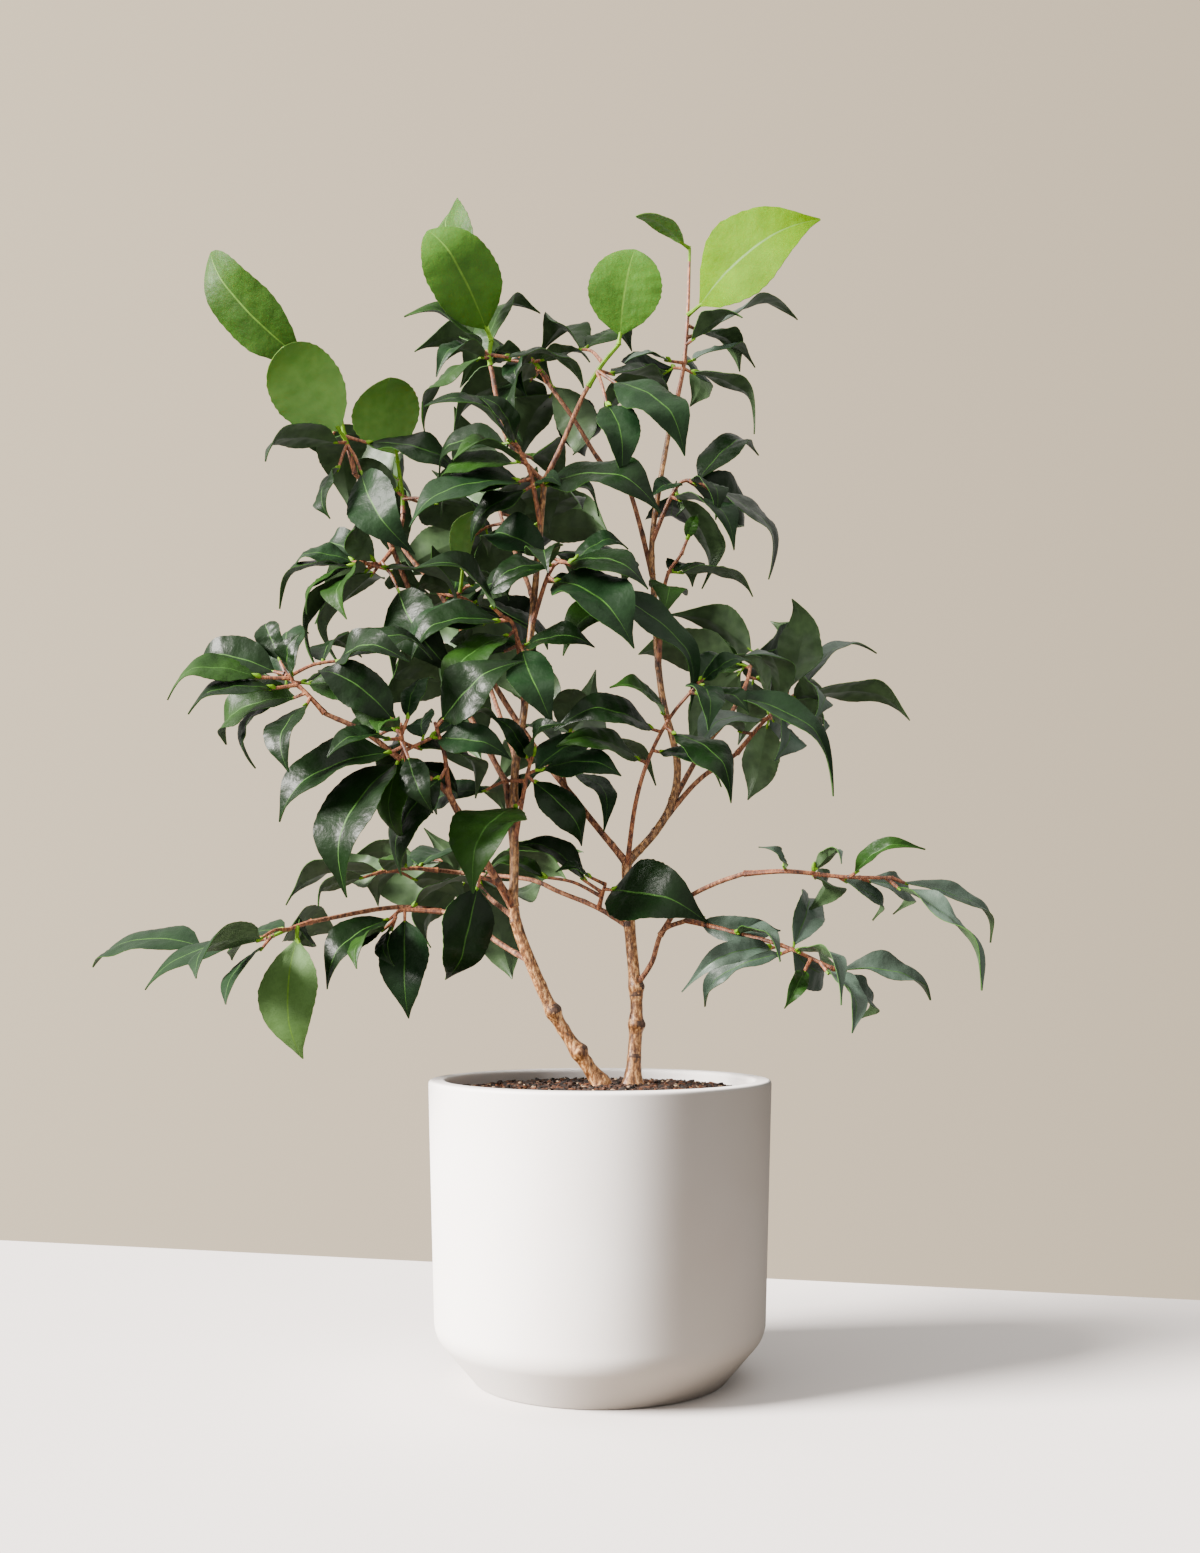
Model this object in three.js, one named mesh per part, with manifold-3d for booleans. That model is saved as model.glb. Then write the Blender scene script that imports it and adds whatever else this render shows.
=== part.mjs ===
// Potted camellia shrub. Millimetres, +Z up, origin at the middle of the pot's underside.
// Two stems rise from the soil and divide into boughs; every mass of foliage is one twig system
// with its leaves grown on it by a seeded rule. Neighbouring pieces stay 0.3 mm apart.
import * as THREE from "three";
import { mergeVertices } from "three/addons/utils/BufferGeometryUtils.js";
import Module from "manifold-3d";

const wasm = await Module();
wasm.setup();

const GAP = 0.3;

// ---------------------------------------------------------------- pot and soil sizes
const POT_HEIGHT = 210;
const POT_RIM_RADIUS = 125;
const POT_RIM_WALL = 13;
const POT_SHOULDER_RADIUS = 118.5;
const POT_SHOULDER_HEIGHT = 32;
const POT_FOOT_RADIUS = 90;
const POT_EDGE_ROUND = 2;
const POT_FLOOR = 14;
const POT_SIDES = 48;
const SOIL_TOP = 206;
const SOIL_EDGE = 202;
const SOIL_FLAT_RADIUS = 45;

// ---------------------------------------------------------------- leaf and twig sizes
const LEAF_THICKNESS = 2;
const LEAF_WIDTH_SHARE = 0.56;
const LEAF_FOLD = 0.1;
const LEAF_BOW = 0.1;
// along the leaf, share of its width, share of its thickness
const LEAF_STATIONS = [[0, 0, 1], [0.36, 1, 1], [0.72, 0.72, 0.9]];
const SMALL_LEAF = 62;
const SMALL_LEAF_STATIONS = [[0, 0, 1], [0.48, 1, 1]];
const LEAF_CLEARANCE = 0.35;
const TWIG_RADIUS = 1.1;
const TWIG_ARCH = 0.08;
const SHORT_TWIG = 26;
const SPRAY_STEM_RADIUS = 1.7;
const GOLDEN_TURN = 137.5;
const WHORL_SPREAD = 52;
const LEAF_DROOP = 0.28;

// ---------------------------------------------------------------- limbs
// path: guide points along the limb. from: the limb it leaves and the share along that limb.
// foot and tip: diameters. knots: share along the limb and growth of the diameter there.
const LIMBS = {
  stem_left: {
    path: [[0, 4, 206.3], [-16, 0, 229], [-33, -2, 256], [-47, -4, 285], [-60, -7, 318], [-64, -8, 336]],
    foot: 9.6, tip: 8, flare: 1.45, knots: [[0.2, 1.25], [0.42, 1.2]],
  },
  stem_right: {
    path: [[24, 10, 206.3], [26, 11, 237], [27, 12, 267], [24, 13, 300], [21, 15, 340], [20, 16, 369]],
    foot: 10, tip: 7.8, flare: 1.45, knots: [[0.28, 1.18], [0.46, 1.15]],
  },
  leader_left: {
    from: ["stem_left", 1],
    path: [
      [-63, -10, 371], [-63, -15, 432], [-56, -18, 481], [-52, -20, 530], [-48, -20, 576], [-42, -15, 655],
    ],
    foot: 7, tip: 4.4,
  },
  leader_right: {
    from: ["stem_right", 1],
    path: [[42, 22, 393], [55, 26, 417], [59, 30, 449], [47, 34, 506], [42, 34, 580], [41, 30, 626],
      [53, 28, 702], [60, 26, 732]],
    foot: 6.6, tip: 3.6,
  },
  bough_left: {
    from: ["stem_left", 1],
    path: [[-83, -25, 367], [-102, -45, 402], [-112, -55, 418], [-136, -65, 433]],
    foot: 6, tip: 4.2,
  },
  bough_left_far: {
    from: ["bough_left", 1],
    path: [[-165, -75, 455], [-193, -80, 468]],
    foot: 4.2, tip: 3.4,
  },
  bough_back_left: {
    from: ["leader_left", 0.16],
    path: [
      [-70, 5, 424], [-77, 12, 440], [-122, 35, 524], [-153, 40, 593], [-180, 30, 659], [-191, 25, 673],
    ],
    foot: 5, tip: 3.4,
  },
  bough_cross: {
    from: ["stem_right", 1],
    path: [
      [-14, 30, 412], [-57, 48, 470], [-101, 70, 542], [-131, 78, 593], [-160, 80, 630], [-160, 80, 657],
    ],
    foot: 5.2, tip: 3.4,
  },
  bough_top_left: {
    from: ["leader_left", 1],
    path: [[-50, -17, 662], [-71, -20, 689], [-83, -20, 744]],
    foot: 3.8, tip: 3.2,
  },
  bough_top_mid: {
    from: ["leader_left", 1],
    path: [[-29, -18, 682], [-15, -20, 715], [-9, -20, 727]],
    foot: 3.8, tip: 3.2,
  },
  bough_heart: {
    from: ["leader_right", 0.66],
    path: [[22, 45, 669], [1, 50, 690], [-22, 55, 729], [-43, 58, 760]],
    foot: 3.8, tip: 3.2,
  },
  bough_right: {
    from: ["leader_right", 0.17],
    path: [[76, 38, 434], [107, 55, 457]],
    foot: 4.2, tip: 3.4,
  },
  bough_low_right: {
    from: ["stem_right", 0.46],
    path: [[38, 2, 294], [46, -8, 317], [63, -20, 325]],
    foot: 4, tip: 3.4,
  },
  bough_arch: {
    from: ["bough_low_right", 0.62],
    path: [[60, -24, 338], [81, -38, 350], [102, -55, 357]],
    foot: 3.6, tip: 3.2,
  },
  bough_low_left: {
    from: ["stem_left", 0.66],
    path: [[-77, 12, 310], [-102, 28, 328], [-156, 55, 337], [-217, 20, 325]],
    foot: 4.2, tip: 3.4,
  },
  bough_inner: {
    from: ["stem_right", 0.7],
    path: [[-1, 22, 335], [-31, 36, 348], [-55, 45, 358], [-104, 70, 364], [-127, 62, 366]],
    foot: 3.8, tip: 3.2,
  },
  bough_rear_left: {
    from: ["leader_left", 0.3],
    path: [[-66, 40, 452], [-80, 96, 490], [-92, 134, 524]],
    foot: 4.2, tip: 3.4,
  },
  bough_rear_right: {
    from: ["leader_right", 0.22],
    path: [[80, 66, 460], [104, 104, 492], [120, 136, 520]],
    foot: 4.2, tip: 3.4,
  },
  bough_rear_low: {
    from: ["stem_left", 0.82],
    path: [[-68, 36, 330], [-86, 84, 344], [-98, 120, 356]],
    foot: 4.2, tip: 3.4,
  },
  bough_rear_high: {
    from: ["leader_left", 0.7],
    path: [[-52, 20, 572], [-64, 70, 612], [-76, 110, 646]],
    foot: 4, tip: 3.4,
  },
};

// ---------------------------------------------------------------- foliage
// on: limb and share along it. stem: guide points of the mass's own stem. reach: its space, mm.
// shoots: [share along the stem, tip x, y, z, leaves, leaf length, turn in degrees, age,
// leaf width as a share of its length where it isn't the usual one]. Age runs from 0, full grown,
// to 3, just unfolded; a mass with young tips is marked young and takes the paler leaf.
const FOLIAGE = {
  foliage_top_right: {
    on: ["leader_right", 1], stem: [[66, 25, 762], [69, 22, 800], [72, 40, 864]], reach: 190, young: true,
    shoots: [
      [0.53, 161, -40, 855, 1, 112, 72, 3, 0.66], [0.26, 107, -10, 793, 1, 54, 0, 0],
      [0.33, 157, 60, 826, 1, 88, 0, 0, 0.42], [1, 29, 20, 884, 1, 46, 0, 2, 0.5],
      [0, 131, 40, 730, 1, 66, 0, 0, 0.44], [0.06, 20, -4, 758, 1, 40, 0, 0],
      [0.12, 84, 100, 760, 2, 76, 40, 0], [0, 30, 105, 790, 2, 74, 200, 0],
    ],
  },
  foliage_top_mid: {
    on: ["bough_top_mid", 1], stem: [[2, -23, 744], [14, -25, 758]], reach: 170, young: true,
    shoots: [
      [1, 26, -34, 831, 1, 76, 0, 2, 0.84], [0.05, 64, -70, 674, 1, 84, 0, 0],
      [0.02, 17, -70, 652, 1, 62, 0, 0], [0.5, 30, 70, 770, 3, 70, 80, 1],
      [0.3, -40, 70, 808, 2, 72, 30, 1],
    ],
  },
  foliage_top_left: {
    on: ["bough_top_left", 1], stem: [[-84, -22, 751], [-82, -25, 762]], reach: 170, young: true,
    shoots: [
      [1, -123, -60, 835, 1, 94, 10, 2, 0.72], [0.9, -124, 20, 893, 1, 110, -35, 2, 0.5],
      [0.3, -138, -70, 776, 1, 74, 0, 1],
      [0.1, -120, -60, 738, 1, 64, 0, 0], [0.4, -104, 90, 786, 3, 78, 60, 1],
    ],
  },
  foliage_heart_top: {
    on: ["bough_heart", 1], stem: [[-50, 50, 770], [-60, 42, 778]], reach: 150,
    shoots: [
      [0.1, -76, -6, 706, 1, 78, 0, 0], [0.9, -88, 30, 770, 1, 44, 0, 1],
      [0.5, -8, 22, 776, 1, 50, 0, 0],
      [0.6, -66, 4, 742, 1, 52, 0, 0], [0.3, -78, 140, 748, 3, 78, 20, 0],
      [0.2, -4, 140, 730, 3, 78, 150, 0],
    ],
  },
  foliage_crown_mid: {
    on: ["leader_left", 0.93], stem: [[-52, -32, 656], [-60, -42, 672]], reach: 150,
    shoots: [
      [1, -115, -90, 700, 2, 80, 0, 0], [0.5, -102, -84, 660, 2, 74, 0, 0],
      [1, -82, -60, 704, 1, 56, 0, 0],
      [0.1, 40, -74, 632, 1, 92, 0, 0], [0.05, -31, -56, 645, 1, 60, 0, 0],
      [0.2, -141, -64, 620, 1, 96, 0, 0],
      [0.1, -100, -30, 612, 1, 64, 0, 0],
    ],
  },
  foliage_crown_low: {
    on: ["leader_left", 0.72], stem: [[-34, -40, 584], [-14, -44, 580]], reach: 150,
    shoots: [
      [0.5, 31, -92, 565, 1, 88, 0, 0], [0.1, 22, -104, 520, 1, 100, 0, 0],
      [1, 81, -44, 496, 1, 104, 0, 0, 0.32],
      [0.7, 18, -60, 606, 1, 58, 0, 0], [0.3, -78, -74, 566, 3, 66, 0, 0],
      [0.8, 14, -24, 556, 1, 40, 0, 0],
    ],
  },
  foliage_crown_right: {
    on: ["leader_right", 0.74], stem: [[60, 20, 662], [76, 14, 664]], reach: 150,
    shoots: [
      [0.7, 92, -26, 639, 1, 72, 0, 0], [0.1, 105, -30, 616, 1, 84, 0, 0],
      [1, 145, 10, 606, 1, 82, 0, 0],
      [0.3, 40, -14, 648, 1, 42, 0, 0], [0.2, 64, 4, 640, 1, 38, 0, 1],
      [0.6, 124, 84, 650, 2, 80, 70, 0],
      [0.2, 60, 120, 668, 3, 80, 170, 0],
    ],
  },
  foliage_stem_right: {
    on: ["leader_right", 0.53], stem: [[50, 18, 584], [62, 6, 604]], reach: 140,
    shoots: [
      [0.2, 50, -44, 560, 1, 70, 0, 1], [0.1, -30, -8, 538, 1, 82, 0, 0], [1, 74, 0, 634, 1, 20, 0, 1],
      [0.05, 30, 120, 590, 3, 82, 100, 0],
    ],
  },
  foliage_cross_top: {
    on: ["bough_cross", 1], stem: [[-161, 80, 674], [-165, 80, 700]], reach: 150, young: true,
    shoots: [
      [1, -171, 38, 757, 1, 66, 0, 2, 1], [0.2, -196, 56, 698, 1, 50, 0, 0],
      [0.1, -88, 44, 650, 1, 52, 0, 0],
      [0.6, -186, 170, 716, 3, 80, 120, 0], [0.2, -100, 160, 668, 3, 80, 10, 0],
    ],
  },
  foliage_far_left_top: {
    on: ["bough_back_left", 1], stem: [[-200, 22, 706], [-206, 20, 734]], reach: 230, young: true,
    shoots: [
      [1, -310, 10, 846, 1, 112, 0, 2, 0.48], [0.15, -241, -34, 754, 1, 84, -20, 2, 0.74],
      [0.7, -236, 40, 784, 1, 68, 0, 2, 0.6],
      [0.1, -255, -30, 678, 1, 78, 0, 0],
      [0.05, -208, -24, 628, 1, 54, 0, 0], [0.2, -102, 10, 672, 1, 82, 0, 0],
      [0.05, -150, -34, 603, 1, 82, 0, 0],
      [0.5, -215, 120, 690, 2, 82, 30, 0], [0.3, -150, 130, 700, 3, 82, 190, 0],
    ],
  },
  foliage_left_upper: {
    on: ["bough_back_left", 0.72], stem: [[-172, 24, 600], [-182, 14, 600]], reach: 150,
    shoots: [
      [0.8, -251, 14, 585, 1, 62, 0, 0], [1, -228, -6, 566, 1, 56, 0, 0],
      [0.6, -198, -30, 558, 1, 76, 0, 0],
      [0.3, -190, -14, 622, 1, 48, 0, 1], [0.2, -217, 6, 529, 1, 80, 0, 0],
      [0.1, -117, -34, 513, 1, 84, 0, 0],
      [0.5, -225, 96, 590, 3, 82, 60, 0],
    ],
  },
  foliage_cross_mid: {
    on: ["bough_cross", 0.66], stem: [[-116, 66, 586], [-106, 60, 592]], reach: 150,
    shoots: [
      [0.6, -103, 38, 648, 1, 46, 0, 2], [1, -72, 20, 589, 1, 74, 0, 1],
      [0.8, -31, 26, 580, 1, 84, 0, 0],
      [0.3, -36, 24, 543, 1, 78, 0, 0], [0.4, -146, 30, 590, 1, 48, 0, 0],
      [0.3, -132, 170, 616, 3, 84, 50, 0],
      [0.2, -50, 160, 566, 4, 84, 130, 0],
    ],
  },
  foliage_left_far: {
    on: ["bough_left_far", 1], stem: [[-208, -81, 484], [-222, -80, 496]], reach: 150,
    shoots: [
      [1, -291, -64, 513, 1, 66, 0, 0], [0.8, -300, -88, 492, 1, 62, 0, 0],
      [0.9, -243, -60, 540, 1, 40, 0, 0],
      [0.5, -283, -118, 472, 1, 60, 0, 0], [0.2, -280, -44, 460, 1, 76, 0, 1],
      [0.7, -214, -106, 518, 1, 64, 20, 0, 0.76],
      [0.05, -216, -122, 429, 1, 58, 0, 0], [0.4, -262, 10, 500, 3, 72, 70, 0],
    ],
  },
  foliage_left_near: {
    on: ["bough_left", 1], stem: [[-138, -80, 446], [-138, -90, 458]], reach: 150,
    shoots: [
      [0.2, -224, -100, 401, 1, 94, 0, 0], [0.5, -182, -126, 440, 1, 50, 0, 0],
      [1, -196, -104, 499, 1, 78, 0, 0],
      [0.9, -150, -128, 452, 1, 52, 0, 1], [0.6, -176, -70, 486, 1, 48, 0, 0],
      [0.05, -182, -120, 352, 1, 102, 0, 0],
      [0.15, -143, -112, 378, 1, 62, 0, 0], [0.4, -118, -110, 400, 1, 44, 0, 0],
      [0.7, -122, -70, 500, 1, 40, 0, 0], [0.8, -198, -60, 452, 1, 58, 20, 1, 0.7],
    ],
  },
  foliage_left_front: {
    on: ["bough_left", 0.66], stem: [[-110, -66, 440], [-116, -78, 462]], reach: 140,
    shoots: [
      [0.9, -66, -112, 502, 1, 70, 25, 0, 0.66], [0.2, -62, -92, 476, 1, 84, 25, 1, 0.62],
      [0.05, -148, -92, 361, 1, 78, 0, 0],
    ],
  },
  foliage_leader_mid: {
    on: ["leader_left", 0.5], stem: [[-62, -34, 536], [-72, -44, 546]], reach: 140,
    shoots: [
      [0.6, -138, -64, 528, 2, 84, 0, 0], [1, -118, -92, 580, 2, 78, 0, 0],
      [0.2, -36, -78, 470, 1, 66, 0, 0],
      [0.3, -112, -70, 488, 2, 80, 0, 0], [0.1, -8, -60, 528, 1, 66, 0, 0],
    ],
  },
  foliage_leader_low: {
    on: ["leader_left", 0.2], stem: [[-54, -30, 426], [-50, -38, 440]], reach: 130,
    shoots: [
      [0.05, -91, -76, 357, 1, 84, 0, 1, 0.72], [1, -36, -74, 466, 1, 56, 0, 0],
      [0.9, -72, -60, 470, 1, 60, 0, 0],
      [0.4, -8, -30, 384, 1, 64, 0, 0],
    ],
  },
  foliage_heart_low: {
    on: ["bough_cross", 0.22], stem: [[-30, 44, 452], [-24, 52, 464]], reach: 150,
    shoots: [
      [0.2, -64, 0, 418, 1, 56, 0, 0], [0.1, 10, -2, 408, 1, 58, 0, 0], [0.9, -18, 0, 504, 1, 52, 0, 0],
      [0.6, -80, 150, 460, 3, 84, 20, 0], [1, -10, 140, 520, 2, 84, 220, 0],
    ],
  },
  foliage_low_left: {
    on: ["bough_low_left", 1], stem: [[-230, 10, 320], [-246, 0, 312]], reach: 190, young: true,
    shoots: [
      [0.1, -223, -6, 226, 1, 94, -40, 3], [0.9, -268, -44, 267, 1, 58, 0, 1],
      [0.8, -333, -16, 280, 1, 90, 0, 0],
      [0.4, -280, -66, 293, 1, 84, 0, 0], [1, -396, 62, 297, 1, 104, 0, 0],
      [0.3, -290, 70, 300, 2, 80, 20, 0],
      [0.1, -230, 96, 310, 2, 80, 120, 0],
    ],
  },
  foliage_low_left_near: {
    on: ["bough_low_left", 0.6], stem: [[-152, 40, 334], [-156, 30, 326]], reach: 130,
    shoots: [
      [0.6, -207, 6, 287, 1, 86, -60, 0], [1, -181, -6, 297, 1, 52, 0, 1],
      [0.8, -160, 0, 296, 1, 36, 0, 0],
      [0.2, -145, 2, 257, 1, 84, -70, 0], [0.4, -188, 130, 320, 3, 80, 60, 0],
    ],
  },
  foliage_stem_left: {
    on: ["stem_left", 0.96], stem: [[-74, -24, 350], [-87, -30, 356]], reach: 120,
    shoots: [[1, -104, -30, 280, 1, 84, -70, 0, 0.7]],
  },
  foliage_inner_left: {
    on: ["bough_inner", 1], stem: [[-146, 54, 367], [-168, 44, 364]], reach: 150,
    shoots: [
      [0.4, -152, 0, 376, 1, 52, 0, 1],
      [1, -216, 10, 345, 1, 46, 0, 0],
      [0.3, -120, 150, 380, 3, 82, 40, 0], [0.8, -206, 104, 376, 2, 80, 160, 0],
    ],
  },
  foliage_front_low: {
    on: ["bough_inner", 0.2], stem: [[2, 10, 346], [4, 2, 352]], reach: 120,
    shoots: [
      [0.6, 66, -46, 338, 1, 76, 30, 0, 0.8], [1, -28, -26, 366, 1, 28, 0, 0],
      [0.3, -58, 4, 386, 1, 56, 0, 0],
      [0.1, -84, 6, 372, 1, 44, 0, 0],
    ],
  },
  foliage_arch: {
    on: ["bough_arch", 1], stem: [[133, -65, 358], [168, -71, 354], [203, -75, 353]], reach: 190,
    shoots: [
      [0.02, 118, -86, 376, 1, 36, 0, 0, 0.4], [0.25, 166, -104, 373, 1, 56, 0, 0, 0.42],
      [0.6, 210, -104, 378, 1, 50, 0, 0, 0.44], [0.5, 206, -44, 331, 1, 50, 0, 0, 0.5],
      [1, 286, -60, 322, 1, 84, 0, 0, 0.28], [0.95, 262, -120, 289, 1, 94, 0, 0, 0.28],
      [0.7, 232, -10, 340, 1, 70, 0, 0, 0.44],
    ],
  },
  foliage_right_low: {
    on: ["bough_low_right", 1], stem: [[96, -35, 316], [130, -51, 306], [161, -65, 291]], reach: 190,
    shoots: [
      [0.02, 125, -76, 307, 1, 72, 0, 0, 0.5], [0.5, 64, -84, 289, 1, 66, 0, 0, 0.4],
      [0.6, 68, -40, 271, 1, 70, 0, 0, 0.4], [0.6, 166, -112, 287, 1, 66, 0, 0, 0.42],
      [1, 235, -60, 275, 1, 76, 0, 0, 0.42], [0.9, 173, -112, 256, 1, 56, 0, 0],
      [1, 199, -26, 259, 1, 52, 0, 0],
      [0.8, 128, -92, 266, 1, 36, 0, 0], [0.5, 176, 30, 290, 2, 74, 90, 0],
    ],
  },
  foliage_right_mid: {
    on: ["bough_right", 1], stem: [[128, 60, 482], [150, 62, 502]], reach: 160,
    shoots: [
      [0.02, 79, 18, 474, 1, 44, 0, 1], [0.4, 74, 0, 462, 1, 80, 0, 1],
      [0.5, 140, -4, 452, 1, 64, 0, 1],
      [0.9, 161, 50, 577, 1, 70, 0, 1, 0.68], [1, 175, 4, 490, 1, 62, 0, 0],
      [1, 246, 80, 505, 1, 86, 0, 0, 0.44],
      [0.95, 220, 100, 560, 1, 84, 0, 0, 0.34], [0.8, 124, 22, 540, 1, 56, 0, 0],
      [0.7, 178, 24, 476, 1, 54, 0, 0],
      [0.4, 160, 150, 500, 3, 80, 100, 0],
    ],
  },
  foliage_middle: {
    on: ["stem_right", 0.97], stem: [[26, -8, 410], [36, -18, 444], [52, -28, 474], [72, -35, 497]],
    reach: 200,
    shoots: [
      [0.5, -22, -62, 477, 1, 76, 0, 0], [0.25, -26, -50, 458, 1, 80, 0, 0],
      [0.62, 12, -66, 494, 1, 58, 0, 1],
      [0.55, 97, -64, 420, 1, 68, 0, 0], [0.35, 89, -40, 434, 1, 56, 0, 0],
      [1, 79, -92, 467, 1, 58, 0, 0],
      [1, 104, -46, 518, 1, 36, 0, 0], [0.95, 175, -64, 437, 1, 110, 0, 0, 0.28],
      [0.9, 106, -82, 477, 1, 54, 0, 0],
      [0.9, 92, -2, 530, 1, 44, 0, 0],
    ],
  },
  foliage_rear_left: {
    on: ["bough_rear_left", 1], stem: [[-98, 150, 546], [-106, 162, 566]], reach: 160,
    shoots: [
      [0.2, -190, 170, 520, 4, 86, 10, 0], [1, -150, 236, 600, 4, 86, 80, 0],
      [0.6, -60, 240, 560, 4, 86, 200, 0],
      [0.1, -130, 226, 470, 4, 86, 300, 0],
    ],
  },
  foliage_rear_right: {
    on: ["bough_rear_right", 1], stem: [[126, 150, 536], [130, 160, 554]], reach: 160,
    shoots: [
      [0.2, 200, 186, 530, 3, 84, 40, 0], [1, 170, 226, 596, 3, 84, 120, 0],
      [0.6, 84, 230, 566, 4, 86, 220, 0], [0.1, 104, 226, 500, 3, 84, 320, 0],
    ],
  },
  foliage_rear_low: {
    on: ["bough_rear_low", 1], stem: [[-104, 138, 364], [-110, 150, 372]], reach: 160,
    shoots: [
      [0.2, -196, 150, 360, 3, 84, 70, 0], [1, -140, 230, 392, 3, 84, 150, 0],
      [0.5, -50, 226, 356, 3, 84, 250, 0],
      [0.1, -90, 196, 300, 2, 84, 350, 0],
    ],
  },
  foliage_rear_high: {
    on: ["bough_rear_high", 1], stem: [[-82, 128, 664], [-88, 142, 684]], reach: 160,
    shoots: [
      [0.2, -176, 170, 640, 4, 84, 30, 0], [1, -130, 220, 720, 4, 84, 100, 0],
      [0.6, -30, 224, 680, 4, 84, 210, 0],
      [0.1, -100, 226, 610, 3, 84, 320, 0],
    ],
  },
};

// ---------------------------------------------------------------- vectors, curves, chance
const UP = new THREE.Vector3(0, 0, 1);
const vec = (x, y, z) => new THREE.Vector3(x, y, z);
const blend = (a, b, share) => a.clone().lerp(b, share);

function seeded(seed) {
  let state = seed >>> 0;
  return () => {
    state = (Math.imul(state, 1664525) + 1013904223) >>> 0;
    return state / 4294967296;
  };
}

// Point and direction at a share of a smooth curve through the guide points.
function alongPath(points, share) {
  const spans = points.length - 1;
  const place = Math.min(Math.max(share, 0), 1) * spans;
  const span = Math.min(Math.floor(place), spans - 1);
  const t = place - span;
  const p1 = points[span];
  const p2 = points[span + 1];
  const p0 = span > 0 ? points[span - 1] : p1.clone().multiplyScalar(2).sub(p2);
  const p3 = span < spans - 1 ? points[span + 2] : p2.clone().multiplyScalar(2).sub(p1);
  const slope1 = p2.clone().sub(p0).multiplyScalar(0.5);
  const slope2 = p3.clone().sub(p1).multiplyScalar(0.5);
  const t2 = t * t;
  const t3 = t2 * t;
  const point = p1.clone().multiplyScalar(2 * t3 - 3 * t2 + 1)
    .addScaledVector(slope1, t3 - 2 * t2 + t)
    .addScaledVector(p2, 3 * t2 - 2 * t3)
    .addScaledVector(slope2, t3 - t2);
  const direction = p1.clone().multiplyScalar(6 * t2 - 6 * t)
    .addScaledVector(slope1, 3 * t2 - 4 * t + 1)
    .addScaledVector(p2, 6 * t - 6 * t2)
    .addScaledVector(slope2, 3 * t2 - 2 * t)
    .normalize();
  return { point, direction };
}

// ---------------------------------------------------------------- closed solids
function solid(positions, triangles) {
  const vertProperties = new Float32Array(positions);
  const triVerts = new Uint32Array(triangles);
  return new wasm.Manifold(new wasm.Mesh({ numProp: 3, vertProperties, triVerts }));
}

// Tube of flat-ended rings. The first ring lies level when levelFoot is set.
function tube(centres, radii, sides, levelFoot = false) {
  const positions = [];
  const triangles = [];
  const start = centres[1].clone().sub(centres[0]).normalize();
  let across = Math.abs(start.x) > 0.8 ? vec(0, 1, 0) : vec(1, 0, 0);
  centres.forEach((centre, ring) => {
    const before = centres[Math.max(ring - 1, 0)];
    const after = centres[Math.min(ring + 1, centres.length - 1)];
    const forward = levelFoot && ring === 0 ? UP.clone() : after.clone().sub(before).normalize();
    across = across.clone().addScaledVector(forward, -across.dot(forward)).normalize();
    const other = forward.clone().cross(across);
    for (let side = 0; side < sides; side += 1) {
      const angle = (side / sides) * 2 * Math.PI;
      const spot = centre.clone()
        .addScaledVector(across, Math.cos(angle) * radii[ring])
        .addScaledVector(other, Math.sin(angle) * radii[ring]);
      positions.push(spot.x, spot.y, spot.z);
    }
  });
  const last = (centres.length - 1) * sides;
  for (let ring = 0; ring < centres.length - 1; ring += 1) {
    for (let side = 0; side < sides; side += 1) {
      const a = ring * sides + side;
      const b = ring * sides + ((side + 1) % sides);
      triangles.push(a, b, b + sides, a, b + sides, a + sides);
    }
  }
  for (let side = 1; side < sides - 1; side += 1) {
    triangles.push(0, side + 1, side);
    triangles.push(last, last + side, last + side + 1);
  }
  return solid(positions, triangles);
}

// Solid turned round the z axis from a profile that starts and ends on the axis.
function turned(profile) {
  const outline = profile.map(([radius, height]) => new THREE.Vector2(radius, height));
  const geometry = new THREE.LatheGeometry(outline, POT_SIDES).rotateX(Math.PI / 2);
  geometry.deleteAttribute("normal");
  geometry.deleteAttribute("uv");
  const merged = mergeVertices(geometry, 1e-3);
  const index = [...merged.index.array];
  const triangles = [];
  for (let t = 0; t < index.length; t += 3) {
    const [a, b, c] = index.slice(t, t + 3);
    if (a !== b && b !== c && c !== a) triangles.push(a, b, c);
  }
  return solid(merged.attributes.position.array, triangles);
}

const isEmpty = (body) => body.getMesh().triVerts.length === 0;

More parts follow.
